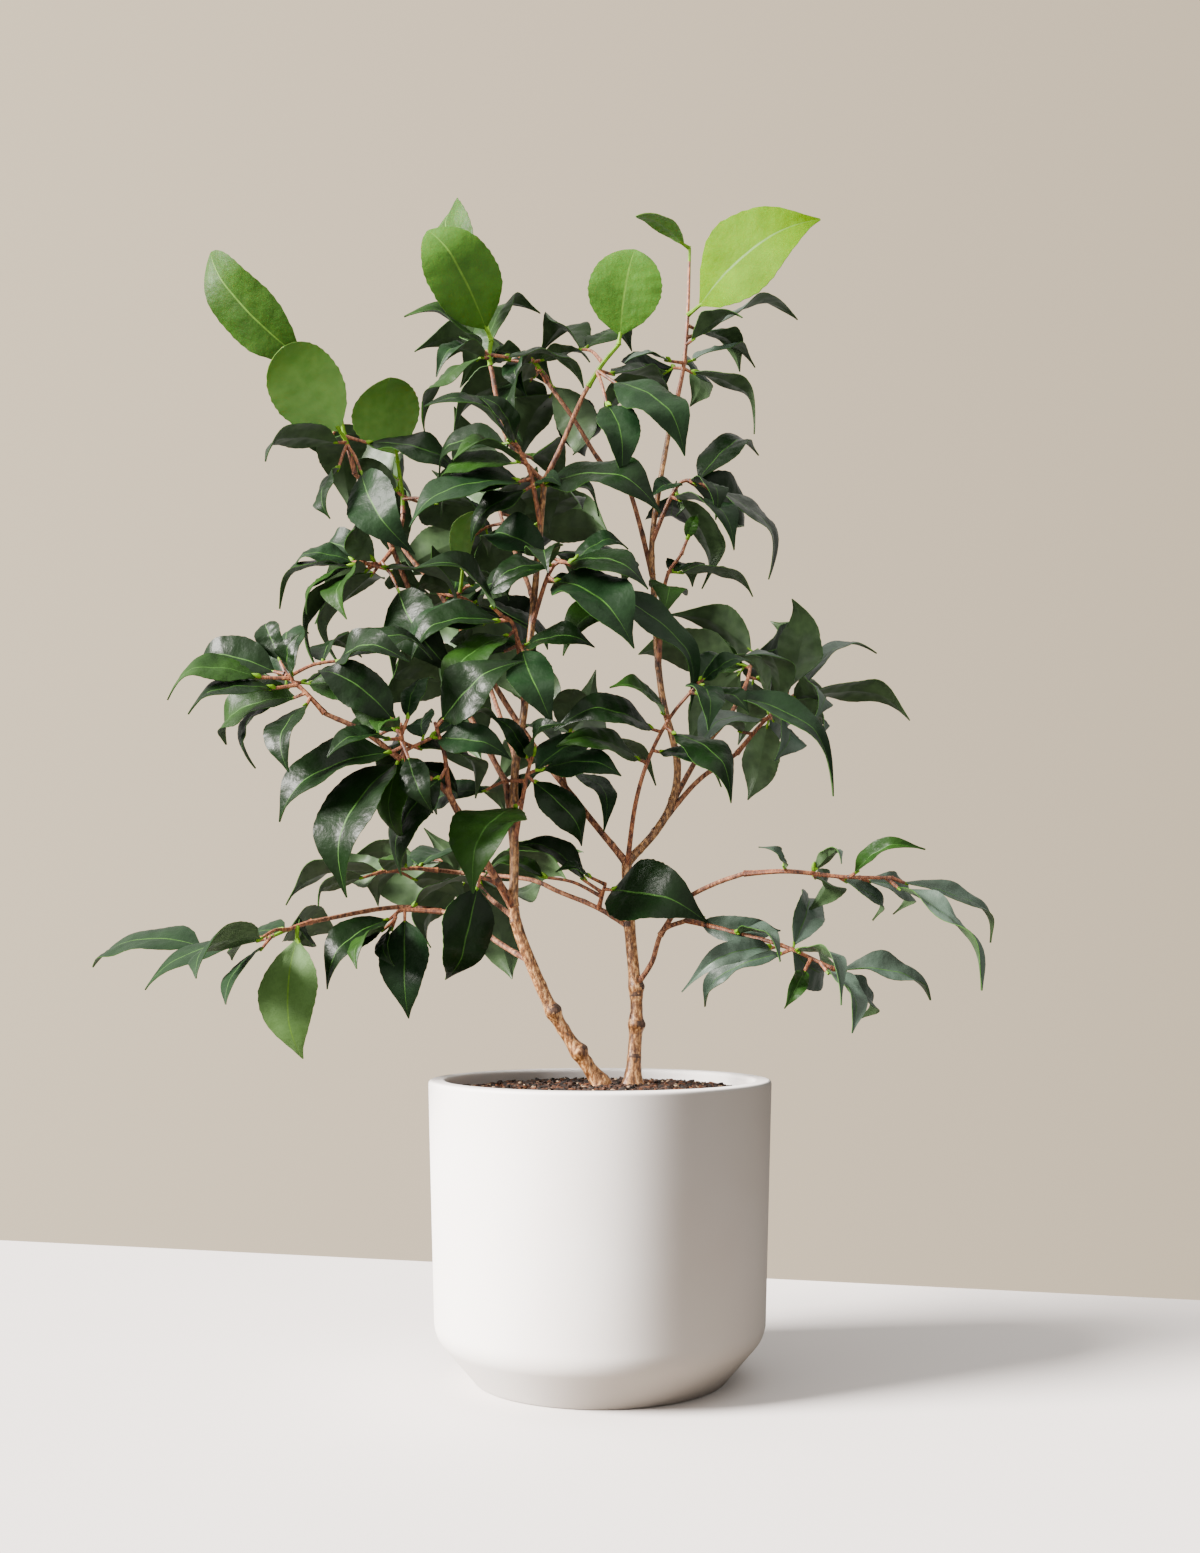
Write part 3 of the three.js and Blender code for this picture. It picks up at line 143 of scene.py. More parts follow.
# ---- masses of foliage
# The limb it grows from and the share along it, its reach from there, the number of further short
# shoots grown by chance, the guide points of its stem, and its shoots. A shoot is the share along the
# leafy part of the stem where it starts, the x, y and z of its tip and the length of its leaves, then
# their number, turn in degrees, age (0 old, 1 grown, 2 young, 3 just opened) and width as a share of
# their length, as far as these aren't the usual ones.
FOLIAGE = {
    "top_right": ("leader_right", 1, 190, 1, ((66, 25, 762), (69, 22, 800), (72, 40, 864)), (
        (0.53, 161, -40, 855, 112, 1, 72, 3, 0.66), (0.26, 107, -10, 793, 54),
        (0.33, 157, 60, 826, 88, 1, 0, 0, 0.42), (1, 29, 20, 884, 46, 1, 0, 2, 0.5),
        (0, 131, 40, 730, 66, 1, 0, 0, 0.44), (0.06, 20, -4, 758, 40), (0.12, 84, 100, 760, 76, 2, 40),
        (0, 30, 105, 790, 74, 2, 200))),
    "top_mid": ("bough_top_mid", 1, 170, 2, ((2, -23, 744), (14, -25, 758)), (
        (1, 26, -34, 831, 76, 1, 0, 2, 0.84), (0.05, 64, -70, 674, 84), (0.02, 17, -70, 652, 62),
        (0.5, 30, 70, 770, 70, 3, 80, 1), (0.3, -40, 70, 808, 72, 2, 30, 1))),
    "top_left": ("bough_top_left", 1, 170, 1, ((-84, -22, 751), (-82, -25, 762)), (
        (1, -123, -60, 835, 94, 1, 10, 2, 0.72), (0.9, -124, 20, 893, 110, 1, -35, 2, 0.5),
        (0.3, -138, -70, 776, 74, 1, 0, 1), (0.1, -120, -60, 738, 64),
        (0.4, -104, 90, 786, 78, 3, 60, 1))),
    "heart_top": ("bough_heart", 1, 150, 4, ((-50, 50, 770), (-60, 42, 778)), (
        (0.1, -76, -6, 706, 78), (0.9, -88, 30, 770, 44, 1, 0, 1), (0.5, -8, 22, 776, 50),
        (0.6, -66, 4, 742, 52), (0.3, -78, 140, 748, 78, 3, 20), (0.2, -4, 140, 730, 78, 3, 150))),
    "crown_mid": ("leader_left", 0.93, 150, 5, ((-52, -32, 656), (-60, -42, 672)), (
        (1, -115, -90, 700, 80, 2), (0.5, -102, -84, 660, 74, 2), (1, -82, -60, 704, 56),
        (0.1, 40, -74, 632, 92), (0.05, -31, -56, 645, 60), (0.2, -141, -64, 620, 96),
        (0.1, -100, -30, 612, 64))),
    "crown_low": ("leader_left", 0.72, 150, 4, ((-34, -40, 584), (-14, -44, 580)), (
        (0.5, 31, -92, 565, 88), (0.1, 22, -104, 520, 100), (1, 81, -44, 496, 104, 1, 0, 0, 0.32),
        (0.7, 18, -60, 606, 58), (0.3, -78, -74, 566, 66, 3), (0.8, 14, -24, 556, 40))),
    "crown_right": ("leader_right", 0.74, 150, 1, ((60, 20, 662), (76, 14, 664)), (
        (0.7, 92, -26, 639, 72), (0.1, 105, -30, 616, 84), (1, 145, 10, 606, 82),
        (0.3, 40, -14, 648, 42), (0.2, 64, 4, 640, 38, 1, 0, 1), (0.6, 124, 84, 650, 80, 2, 70),
        (0.2, 60, 120, 668, 80, 3, 170))),
    "stem_right": ("leader_right", 0.53, 140, 1, ((50, 18, 584), (62, 6, 604)), (
        (0.2, 50, -44, 560, 70, 1, 0, 1), (0.1, -30, -8, 538, 82), (1, 74, 0, 634, 20, 1, 0, 1),
        (0.05, 30, 120, 590, 82, 3, 100))),
    "cross_top": ("bough_cross", 1, 150, 4, ((-161, 80, 674), (-165, 80, 700)), (
        (1, -171, 38, 757, 66, 1, 0, 2, 1), (0.2, -196, 56, 698, 50), (0.1, -88, 44, 650, 52),
        (0.6, -186, 170, 716, 80, 3, 120), (0.2, -100, 160, 668, 80, 3, 10))),
    "far_left_top": ("bough_back_left", 1, 230, 3, ((-200, 22, 706), (-206, 20, 734)), (
        (1, -310, 10, 846, 112, 1, 0, 2, 0.48), (0.15, -241, -34, 754, 84, 1, -20, 2, 0.74),
        (0.7, -236, 40, 784, 68, 1, 0, 2, 0.6), (0.1, -255, -30, 678, 78), (0.05, -208, -24, 628, 54),
        (0.2, -102, 10, 672, 82), (0.05, -150, -34, 603, 82), (0.5, -215, 120, 690, 82, 2, 30),
        (0.3, -150, 130, 700, 82, 3, 190))),
    "left_upper": ("bough_back_left", 0.72, 150, 5, ((-172, 24, 600), (-182, 14, 600)), (
        (0.8, -251, 14, 585, 62), (1, -228, -6, 566, 56), (0.6, -198, -30, 558, 76),
        (0.3, -190, -14, 622, 48, 1, 0, 1), (0.2, -217, 6, 529, 80), (0.1, -117, -34, 513, 84),
        (0.5, -225, 96, 590, 82, 3, 60))),
    "cross_mid": ("bough_cross", 0.66, 150, 5, ((-116, 66, 586), (-106, 60, 592)), (
        (0.6, -103, 38, 648, 46, 1, 0, 2), (1, -72, 20, 589, 74, 1, 0, 1), (0.8, -31, 26, 580, 84),
        (0.3, -36, 24, 543, 78), (0.4, -146, 30, 590, 48), (0.3, -132, 170, 616, 84, 3, 50),
        (0.2, -50, 160, 566, 84, 4, 130))),
    "left_far": ("bough_left_far", 1, 150, 3, ((-208, -81, 484), (-222, -80, 496)), (
        (1, -291, -64, 513, 66), (0.8, -300, -88, 492, 62), (0.9, -243, -60, 540, 40),
        (0.5, -283, -118, 472, 60), (0.2, -280, -44, 460, 76, 1, 0, 1),
        (0.7, -214, -106, 518, 64, 1, 20, 0, 0.76), (0.05, -216, -122, 429, 58),
        (0.4, -262, 10, 500, 72, 3, 70))),
    "left_near": ("bough_left", 1, 150, 4, ((-138, -80, 446), (-138, -90, 458)), (
        (0.2, -224, -100, 401, 94), (0.5, -182, -126, 440, 50), (1, -196, -104, 499, 78),
        (0.9, -150, -128, 452, 52, 1, 0, 1), (0.6, -176, -70, 486, 48), (0.05, -182, -120, 352, 102),
        (0.15, -143, -112, 378, 62), (0.4, -118, -110, 400, 44), (0.7, -122, -70, 500, 40),
        (0.8, -198, -60, 452, 58, 1, 20, 1, 0.7))),
    "left_front": ("bough_left", 0.66, 140, 4, ((-110, -66, 440), (-116, -78, 462)), (
        (0.9, -66, -112, 502, 70, 1, 25, 0, 0.66), (0.2, -62, -92, 476, 84, 1, 25, 1, 0.62),
        (0.05, -148, -92, 361, 78))),
    "leader_mid": ("leader_left", 0.5, 140, 5, ((-62, -34, 536), (-72, -44, 546)), (
        (0.6, -138, -64, 528, 84, 2), (1, -118, -92, 580, 78, 2), (0.2, -36, -78, 470, 66),
        (0.3, -112, -70, 488, 80, 2), (0.1, -8, -60, 528, 66))),
    "leader_low": ("leader_left", 0.2, 130, 3, ((-54, -30, 426), (-50, -38, 440)), (
        (0.05, -91, -76, 357, 84, 1, 0, 1, 0.72), (1, -36, -74, 466, 56), (0.9, -72, -60, 470, 60),
        (0.4, -8, -30, 384, 64))),
    "heart_low": ("bough_cross", 0.22, 150, 3, ((-30, 44, 452), (-24, 52, 464)), (
        (0.2, -64, 0, 418, 56), (0.1, 10, -2, 408, 58), (0.9, -18, 0, 504, 52),
        (0.6, -80, 150, 460, 84, 3, 20), (1, -10, 140, 520, 84, 2, 220))),
    "low_left": ("bough_low_left", 1, 190, 1, ((-230, 10, 320), (-246, 0, 312)), (
        (0.1, -223, -6, 226, 94, 1, -40, 3), (0.9, -268, -44, 267, 58, 1, 0, 1),
        (0.8, -333, -16, 280, 90), (0.4, -280, -66, 293, 84), (1, -396, 62, 297, 104),
        (0.3, -290, 70, 300, 80, 2, 20), (0.1, -230, 96, 310, 80, 2, 120))),
    "low_left_near": ("bough_low_left", 0.6, 130, 2, ((-152, 40, 334), (-156, 30, 326)), (
        (0.6, -207, 6, 287, 86, 1, -60), (1, -181, -6, 297, 52, 1, 0, 1), (0.8, -160, 0, 296, 36),
        (0.2, -145, 2, 257, 84, 1, -70), (0.4, -188, 130, 320, 80, 3, 60))),
    "stem_left": ("stem_left", 0.96, 120, 0, ((-74, -24, 350), (-87, -30, 356)), (
        (1, -104, -30, 280, 84, 1, -70, 0, 0.7),)),
    "inner_left": ("bough_inner", 1, 150, 2, ((-146, 54, 367), (-168, 44, 364)), (
        (0.4, -152, 0, 376, 52, 1, 0, 1), (1, -216, 10, 345, 46), (0.3, -120, 150, 380, 82, 3, 40),
        (0.8, -206, 104, 376, 80, 2, 160))),
    "front_low": ("bough_inner", 0.2, 120, 0, ((2, 10, 346), (4, 2, 352)), (
        (0.6, 66, -46, 338, 76, 1, 30, 0, 0.8), (1, -28, -26, 366, 28), (0.3, -58, 4, 386, 56),
        (0.1, -84, 6, 372, 44))),
    "arch": ("bough_arch", 1, 190, 1, ((133, -65, 358), (168, -71, 354), (203, -75, 353)), (
        (0.02, 118, -86, 376, 36, 1, 0, 0, 0.4), (0.25, 166, -104, 373, 56, 1, 0, 0, 0.42),
        (0.6, 210, -104, 378, 50, 1, 0, 0, 0.44), (0.5, 206, -44, 331, 50, 1, 0, 0, 0.5),
        (1, 286, -60, 322, 84, 1, 0, 0, 0.28), (0.95, 262, -120, 289, 94, 1, 0, 0, 0.28),
        (0.7, 232, -10, 340, 70, 1, 0, 0, 0.44))),
    "right_low": ("bough_low_right", 1, 190, 0, ((96, -35, 316), (130, -51, 306), (161, -65, 291)), (
        (0.02, 125, -76, 307, 72, 1, 0, 0, 0.5), (0.5, 64, -84, 289, 66, 1, 0, 0, 0.4),
        (0.6, 68, -40, 271, 70, 1, 0, 0, 0.4), (0.6, 166, -112, 287, 66, 1, 0, 0, 0.42),
        (1, 235, -60, 275, 76, 1, 0, 0, 0.42), (0.9, 173, -112, 256, 56), (1, 199, -26, 259, 52),
        (0.8, 128, -92, 266, 36), (0.5, 176, 30, 290, 74, 2, 90),
        (-0.38, 129, -54, 318, 68, 1, 50, 0, 0.52))),
    "right_mid": ("bough_right", 1, 160, 0, ((128, 60, 482), (150, 62, 502)), (
        (0.02, 79, 18, 474, 44, 1, 0, 1), (0.4, 74, 0, 462, 80, 1, 0, 1),
        (0.5, 140, -4, 452, 64, 1, 0, 1), (0.9, 161, 50, 577, 70, 1, 0, 1, 0.68), (1, 175, 4, 490, 62),
        (1, 246, 80, 505, 86, 1, 0, 0, 0.44), (0.95, 220, 100, 560, 84, 1, 0, 0, 0.34),
        (0.8, 124, 22, 540, 56), (0.7, 178, 24, 476, 54), (0.4, 160, 150, 500, 80, 3, 100))),
    "middle": (
        "stem_right", 0.97, 200, 0, ((26, -8, 410), (36, -18, 444), (52, -28, 474), (72, -35, 497)), (
        (0.5, -22, -62, 477, 76), (0.25, -26, -50, 458, 80), (0.62, 12, -66, 494, 58, 1, 0, 1),
        (0.55, 97, -64, 420, 68), (0.35, 89, -40, 434, 56), (1, 79, -92, 467, 58),
        (1, 104, -46, 518, 36), (0.95, 175, -64, 437, 110, 1, 0, 0, 0.28), (0.9, 106, -82, 477, 54),
        (0.9, 92, -2, 530, 44))),
    "rear_left": ("bough_rear_left", 1, 160, 6, ((-98, 150, 546), (-106, 162, 566)), (
        (0.2, -190, 170, 520, 86, 4, 10), (1, -150, 236, 600, 86, 4, 80),
        (0.6, -60, 240, 560, 86, 4, 200), (0.1, -130, 226, 470, 86, 4, 300))),
    "rear_right": ("bough_rear_right", 1, 160, 2, ((126, 150, 536), (130, 160, 554)), (
        (0.2, 200, 186, 530, 84, 3, 40), (1, 170, 226, 596, 84, 3, 120),
        (0.6, 84, 230, 566, 86, 4, 220), (0.1, 104, 226, 500, 84, 3, 320))),
    "rear_low": ("bough_rear_low", 1, 160, 6, ((-104, 138, 364), (-110, 150, 372)), (
        (0.2, -196, 150, 360, 84, 3, 70), (1, -140, 230, 392, 84, 3, 150),
        (0.5, -50, 226, 356, 84, 3, 250), (0.1, -90, 196, 300, 84, 2, 350))),
    "rear_high": ("bough_rear_high", 1, 160, 5, ((-82, 128, 664), (-88, 142, 684)), (
        (0.2, -176, 170, 640, 84, 4, 30), (1, -130, 220, 720, 84, 4, 100),
        (0.6, -30, 224, 680, 84, 4, 210), (0.1, -100, 226, 610, 84, 3, 320))),
}


# share of a mass's reach that the shoots grown by chance keep to
FILL_REACH = 0.85
# number of leaves, turn, age and width of a shoot that doesn't give its own
SHOOT_DEFAULTS = (1, 0, 0, LEAF_WIDTH_SHARE)

# ---- vectors, curves, chance
UP = np.array((0.0, 0.0, 1.0))


def vec(*numbers):
    return np.array(numbers, dtype=float)


def unit(v):
    return v / np.linalg.norm(v)


def between(a, b, share):
    return a + (b - a) * share


def turned_about(v, axis, degrees):
    """v turned about a unit axis."""
    angle = math.radians(degrees)
    square = np.cross(axis, v) * math.sin(angle)
    return v * math.cos(angle) + square + axis * axis.dot(v) * (1 - math.cos(angle))


def seeded(seed):
    """The same run of chance numbers for the same seed, each from 0 up to 1."""
    state = seed & 0xFFFFFFFF

    def draw():
        nonlocal state
        state = (state * 1664525 + 1013904223) & 0xFFFFFFFF
        return state / 4294967296

    return draw


def along_path(points, share):
    """Point at a share of a smooth curve through the guide points."""
    spans = len(points) - 1
    place = min(max(share, 0), 1) * spans
    span = min(int(place), spans - 1)
    t = place - span
    p1, p2 = points[span], points[span + 1]
    p0 = points[span - 1] if span > 0 else 2 * p1 - p2
    p3 = points[span + 2] if span < spans - 1 else 2 * p2 - p1
    slope1, slope2 = (p2 - p0) / 2, (p3 - p1) / 2
    t2, t3 = t * t, t * t * t
    bend = slope1 * (t3 - 2 * t2 + t) + slope2 * (t3 - t2)
    return p1 * (2 * t3 - 3 * t2 + 1) + p2 * (3 * t2 - 2 * t3) + bend


def guide(points):
    return [vec(*p) for p in points]


def ring_angles(sides):
    return np.arange(sides) / sides * 2 * math.pi


# ---- tubes and turned bodies
def ring_faces(rings, sides):
    """Quads between neighbouring rings of a tube, with flat ends."""
    faces = [tuple(range(sides))[::-1]]
    for ring in range(rings - 1):
        for side in range(sides):
            a = ring * sides + side
            b = ring * sides + (side + 1) % sides
            faces.append((a, b, b + sides, a + sides))
    faces.append(tuple((rings - 1) * sides + side for side in range(sides)))
    return faces


def tube(centres, radii, sides, level_foot=False):
    """Vertices and faces of a tube; a ring has one radius or one for each vertex."""
    start = unit(centres[1] - centres[0])
    across = vec(0, 1, 0) if abs(start[0]) > 0.8 else vec(1, 0, 0)
    angles = ring_angles(sides)
    rings = []
    for ring, centre in enumerate(centres):
        before = centres[max(ring - 1, 0)]
        after = centres[min(ring + 1, len(centres) - 1)]
        forward = UP if level_foot and ring == 0 else unit(after - before)
        across = unit(across - forward * across.dot(forward))
        other = np.cross(forward, across)
        spokes = np.outer(np.cos(angles), across) + np.outer(np.sin(angles), other)
        rings.append(centre + spokes * np.reshape(radii[ring], (-1, 1)))
    return np.vstack(rings), ring_faces(len(centres), sides)


def turned(profile, sides):
    """Body turned round the z axis from a profile that starts and ends on the axis."""
    angles = ring_angles(sides)
    rings = profile[1:-1]
    vertices = [(0, 0, profile[0][1])]
    for radius, height in rings:
        vertices += [(math.cos(a) * radius, math.sin(a) * radius, height) for a in angles]
    vertices.append((0, 0, profile[-1][1]))
    end = len(vertices) - 1
    faces = []
    for side in range(sides):
        near, far = 1 + side, 1 + (side + 1) % sides
        faces.append((0, far, near))
        for ring in range(len(rings) - 1):
            a, b = ring * sides + near, ring * sides + far
            faces.append((a, b, b + sides, a + sides))
        last = (len(rings) - 1) * sides
        faces.append((last + near, last + far, end))
    return np.array(vertices, dtype=float), faces


# ---- limbs and plain leaves
def limb_path(name):
    """Guide points of a limb, from the place where it leaves its parent."""
    parent, share, _, _, *own = LIMBS[name]
    foot = [along_path(limb_path(parent), share)] if parent else []
    return [*foot, *guide(own)]


def limb_radius(name, share):
    _, _, foot, tip, *_ = LIMBS[name]
    radius = (foot + (tip - foot) * share) / 2
    if name in KNOTS:
        radius *= 1 + (ROOT_FLARE - 1) * math.exp(-share * FLARE_FADE)
    for place, growth in KNOTS.get(name, ()):
        radius *= 1 + (growth - 1) * math.exp(-(((share - place) / KNOT_SPREAD) ** 2))
    return radius


class Plain:
    """A plain body with its box, quick to test for room against others."""

    def __init__(self, vertices, faces):
        self.low = vertices.min(axis=0).tolist()
        self.high = vertices.max(axis=0).tolist()
        self.tree = BVHTree.FromPolygons(vertices.tolist(), faces)

    def meets(self, other):
        for axis in range(3):
            if self.low[axis] > other.high[axis] or other.low[axis] > self.high[axis]:
                return False
        return bool(self.tree.overlap(other.tree))


def plain_limb(name):
    """A limb as a few-sided tube, with a little room round it."""
    points = limb_path(name)
    sides = 10 if name in KNOTS else 6
    steps = 18 if name in KNOTS else max(3, round((len(points) - 1) * 1.6))
    shares = [step / steps for step in range(steps + 1)]
    centres = [along_path(points, share) for share in shares]
    radii = [limb_radius(name, share) + GAP * 1.1 for share in shares]
    return Plain(*tube(centres, radii, sides, name in KNOTS))


def plain_leaf(leaf, margin, stalk):
    """Twig running into a leaf that is keeled along its midrib and bowed over towards its tip."""
    base, tip, normal = leaf["base"], leaf["tip"], leaf["normal"]
    direction = unit(tip - base)
    length = np.linalg.norm(tip - base)
    vertices = []

    def add_ring(centre, forward, half, keel, lift):
        side = unit(np.cross(forward, normal))
        face = np.cross(side, forward)
        for across, rise in ((half, lift), (-half, lift), (0, -keel)):
            vertices.append(centre + side * across + face * rise)

    for k, centre in enumerate(stalk):
        following = stalk[k + 1] if k < len(stalk) - 1 else base
        thick = TWIG_RADIUS + margin
        add_ring(centre, unit(following - centre), thick, thick, thick * 0.7)
    stations = SMALL_LEAF_STATIONS if length < SMALL_LEAF else LEAF_STATIONS
    for share, wide, fat in stations:
        lift = LEAF_BOW * length * 4 * share * (1 - share)
        half = max(leaf["width"] / 2 * wide, TWIG_RADIUS) + margin
        keel = LEAF_THICKNESS / 2 * fat + margin
        add_ring(base + direction * length * share + normal * lift, direction, half, keel,
                 half * LEAF_FOLD + margin + 0.5)
    last = len(vertices) - 3
    faces = ring_faces(len(vertices) // 3, 3)[:-1]
    vertices.append(tip + direction * margin)
    faces += [(last + k, last + (k + 1) % 3, last + 3) for k in range(3)]
    return Plain(np.array(vertices), faces)


# ---- growing
def leaf_normal(base, direction):
    """The face looks up and away from the middle of the crown, as square to its run as can be."""
    outward = vec(base[0] * 0.6, base[1] - 20, 0) / 140
    outward = outward / max(np.linalg.norm(outward), 1)
    face = UP * 0.75 + outward
    if base[1] < 20:
        face = face - vec(0, 0.35, 0)
    return unit(face - direction * face.dot(direction))


def shoot_leaves(start, row, random):
    """Leaves of one shoot: one ends at the shoot's tip, the others are dealt round its twig."""
    _, x, y, z, length, *own_traits = row
    count, turn, age, broad = *own_traits, *SHOOT_DEFAULTS[len(own_traits):]
    tip = vec(x, y, z)
    direction = unit(tip - start)
    own = min(length, np.linalg.norm(tip - start) * 0.9)
    twig_end = tip - direction * own
    twig_length = np.linalg.norm(twig_end - start)
    crest = between(start, twig_end, 0.5) + UP * twig_length * TWIG_ARCH
    stalk = [start] if twig_length < SHORT_TWIG else [start, crest]
    leaves = [{"stalk": stalk, "base": twig_end, "tip": tip, "length": own}]
    across = unit(np.cross(direction, UP))
    over = np.cross(across, direction)
    for k in range(count - 1):
        share = TOP_LEAF_SHARE - LEAFY_SHARE * k / max(count - 1, 1)
        angle = math.radians(turn + k * GOLDEN_TURN + random() * TURN_CHANCE)
        spread = math.radians(WHORL_SPREAD + random() * SPREAD_CHANCE)
        away = across * math.cos(angle) + over * math.sin(angle)
        lean = direction * math.cos(spread) + away * math.sin(spread)
        lean = unit(lean - UP * LEAF_DROOP)
        lower = share < 0.5
        root = between(start, crest, share * 2) if lower else between(crest, twig_end, share * 2 - 1)
        base = root + lean * STALK_LENGTH
        size = length * (0.8 + random() * 0.2)
        leaves.append({"stalk": [root], "base": base, "tip": base + lean * size, "length": size})
    for k, leaf in enumerate(leaves):
        along = unit(leaf["tip"] - leaf["base"])
        leaf["normal"] = leaf_normal(leaf["base"], along)
        if k == 0:
            leaf["normal"] = turned_about(leaf["normal"], along, turn)
        leaf["width"] = leaf["length"] * broad
        leaf["age"] = age
        leaf["ends_twig"] = k == 0
    return leaves


def shoot_start(path, share):
    """Place on the stem of a mass at a share of its leafy part."""
    return along_path(path, BARE_SHARE + share * (1 - BARE_SHARE))


def fill_row(path, random):
    """One more short shoot from the stem of a mass, aimed by chance into the depth of the crown."""
    share = random()
    start = shoot_start(path, share)
    heading = (0.04 + random() * 0.92) * math.pi
    rise = -0.3 + random() * 0.8
    run = (60 + random() * 44) * unit(vec(math.cos(heading), math.sin(heading), rise))
    count = 1 + int(random() * 2.6)
    return [share, *(start + run), 50 + random() * 26, count, -12 + random() * 24]


def grow_mass(name, seed, standing):
    """One mass of foliage: the path of its stem and its leaves, each with room of its own."""
    limb, place, whole_reach, fills, stem, shoots = FOLIAGE[name]
    random = seeded(seed)
    foot = along_path(limb_path(limb), place)
    path = [foot, *guide(stem)]
    grown, leaves = [], []

    def fits(leaf, reach):
        if np.linalg.norm(leaf["tip"] - foot) > reach:
            return False
        roomy = plain_leaf(leaf, LEAF_CLEARANCE, leaf["stalk"])
        if any(roomy.meets(other) for other in standing):
            return False
        blade = plain_leaf(leaf, LEAF_CLEARANCE, leaf["stalk"][1:])
        return not any(blade.meets(other) for other in grown)

    def keep(leaf):
        grown.append(plain_leaf(leaf, 0, []))
        leaves.append(leaf)

    def grow(row, steps, reach):
        start = shoot_start(path, row[0])
        for step in steps:
            moved = [*row[:2], row[2] + step, *row[3:]]
            end_leaf, *side_leaves = shoot_leaves(start, moved, random)
            if fits(end_leaf, reach):
                keep(end_leaf)
                for leaf in [leaf for leaf in side_leaves if fits(leaf, reach)]:
                    keep(leaf)
                return

    for row in shoots:
        grow(row, SIDESTEPS, whole_reach)
    for _ in range(fills):
        grow(fill_row(path, random), (0,), whole_reach * FILL_REACH)
    standing += [plain_leaf(leaf, 0, leaf["stalk"]) for leaf in leaves]
    return {"path": path, "leaves": leaves}


def grow_shrub():
    standing = [plain_limb(name) for name in LIMBS]
    standing.append(Plain(*turned(POT_OUTLINE, 32)))
    standing.append(Plain(*turned(soil_outline(6), 32)))
    return {name: grow_mass(name, 100 + k, standing) for k, name in enumerate(FOLIAGE)}


# ---- joined pieces
class Pile:
    """Vertices and faces of one joined piece, and the CAD nodes that it stands for."""

    def __init__(self, name, finishes, slot):
        self.name = name
        self.finishes = finishes
        self.slot = slot
        self.vertices = []
        self.faces = []
        self.marks = []
        self.nodes = set()
        self.count = 0

    def add(self, node_name, vertices, faces, marks=0):
        self.vertices.append(np.asarray(vertices) * MM)
        self.faces += [tuple(corner + self.count for corner in face) for face in faces]
        self.marks += [marks] * len(faces) if isinstance(marks, int) else list(marks)
        self.nodes.add(node_name)
        self.count += len(vertices)

    def build(self):
        """One object on the standing body, in place of its CAD nodes."""
        mesh = bpy.data.meshes.new(self.name)
        mesh.from_pydata(np.vstack(self.vertices).tolist(), [], self.faces)
        for look in self.finishes:
            mesh.materials.append(look)
        mesh.polygons.foreach_set("material_index", self.marks)
        mesh.polygons.foreach_set("use_smooth", [True] * len(self.faces))
        mesh.set_sharp_from_angle(angle=math.radians(50))
        mesh.update()
        piece = bpy.data.objects.new(self.name, mesh)
        bpy.context.collection.objects.link(piece)
        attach(piece, "root")
        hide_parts(*sorted(self.nodes))
        return piece


# ---- finishes
def colour(code):
    """sRGB hex to the linear colour that the shader takes."""
    channels = [int(code[k:k + 2], 16) / 255 for k in (1, 3, 5)]
    return [*(c / 12.92 if c <= 0.04045 else ((c + 0.055) / 1.055) ** 2.4 for c in channels), 1]


def node(tree, kind, sockets, stops=(), **settings):
    """Adds one shader node. A socket takes a value, an output, or a node for its first output."""
    made = tree.nodes.new("ShaderNode" + kind)
    for key, value in settings.items():
        setattr(made, key, value)
    for place, value in sockets.items():
        source = value.outputs[0] if isinstance(value, bpy.types.Node) else value
        if isinstance(source, bpy.types.NodeSocket):
            tree.links.new(source, made.inputs[place])
        else:
            made.inputs[place].default_value = source
    for k, (place, code) in enumerate(stops):
        stop = made.color_ramp.elements[k] if k < 2 else made.color_ramp.elements.new(place)
        stop.position = place
        stop.color = colour(code)
    return made


def blank(name):
    """A new material with an empty node tree, and the object's own metres as its space."""
    material = bpy.data.materials.new(name)
    material.use_nodes = True
    tree = material.node_tree
    tree.nodes.clear()
    return material, tree, node(tree, "TexCoord", {}).outputs["Object"]


def dress(tree, sockets):
    node(tree, "OutputMaterial", {"Surface": node(tree, "BsdfPrincipled", sockets)})


def waxed_leaf(name, dark, light, roughness, gloss, glow):
    # Upper side of a leaf: a waxed skin over green tissue, so a tight gloss over deep colour when it
    # is grown, and a duller skin that lets some light through when it is young. The green drifts over
    # patches some 22 mm wide. The blade is puckered between its small veins, some 5 mm wide, which
    # breaks the gloss up; the skin's pits are drawn 2 mm wide, coarser than life, to show at all.
    material, tree, space = blank(name)
    drift = node(tree, "TexNoise", {"Vector": space, "Scale": 1000 / 22, "Detail": 3})
    green = node(tree, "ValToRGB", {"Fac": drift}, ((0.32, dark), (0.68, light)))
    puckers = node(tree, "TexNoise", {"Vector": space, "Scale": 1000 / 5, "Detail": 2})
    blade = node(tree, "Bump", {"Height": puckers, "Distance": 0.9 * MM, "Strength": 0.6})
    pits = node(tree, "TexNoise", {"Vector": space, "Scale": 1000 / 2, "Detail": 2})
    skin = node(tree, "Bump", {"Height": pits, "Distance": 0.08 * MM, "Strength": 0.5, "Normal": blade})
    dress(tree, {"Base Color": green, "Normal": skin, "Roughness": roughness, "IOR": 1.47,
                 "Specular IOR Level": gloss, "Subsurface Weight": glow, "Subsurface Scale": MM})
    return material


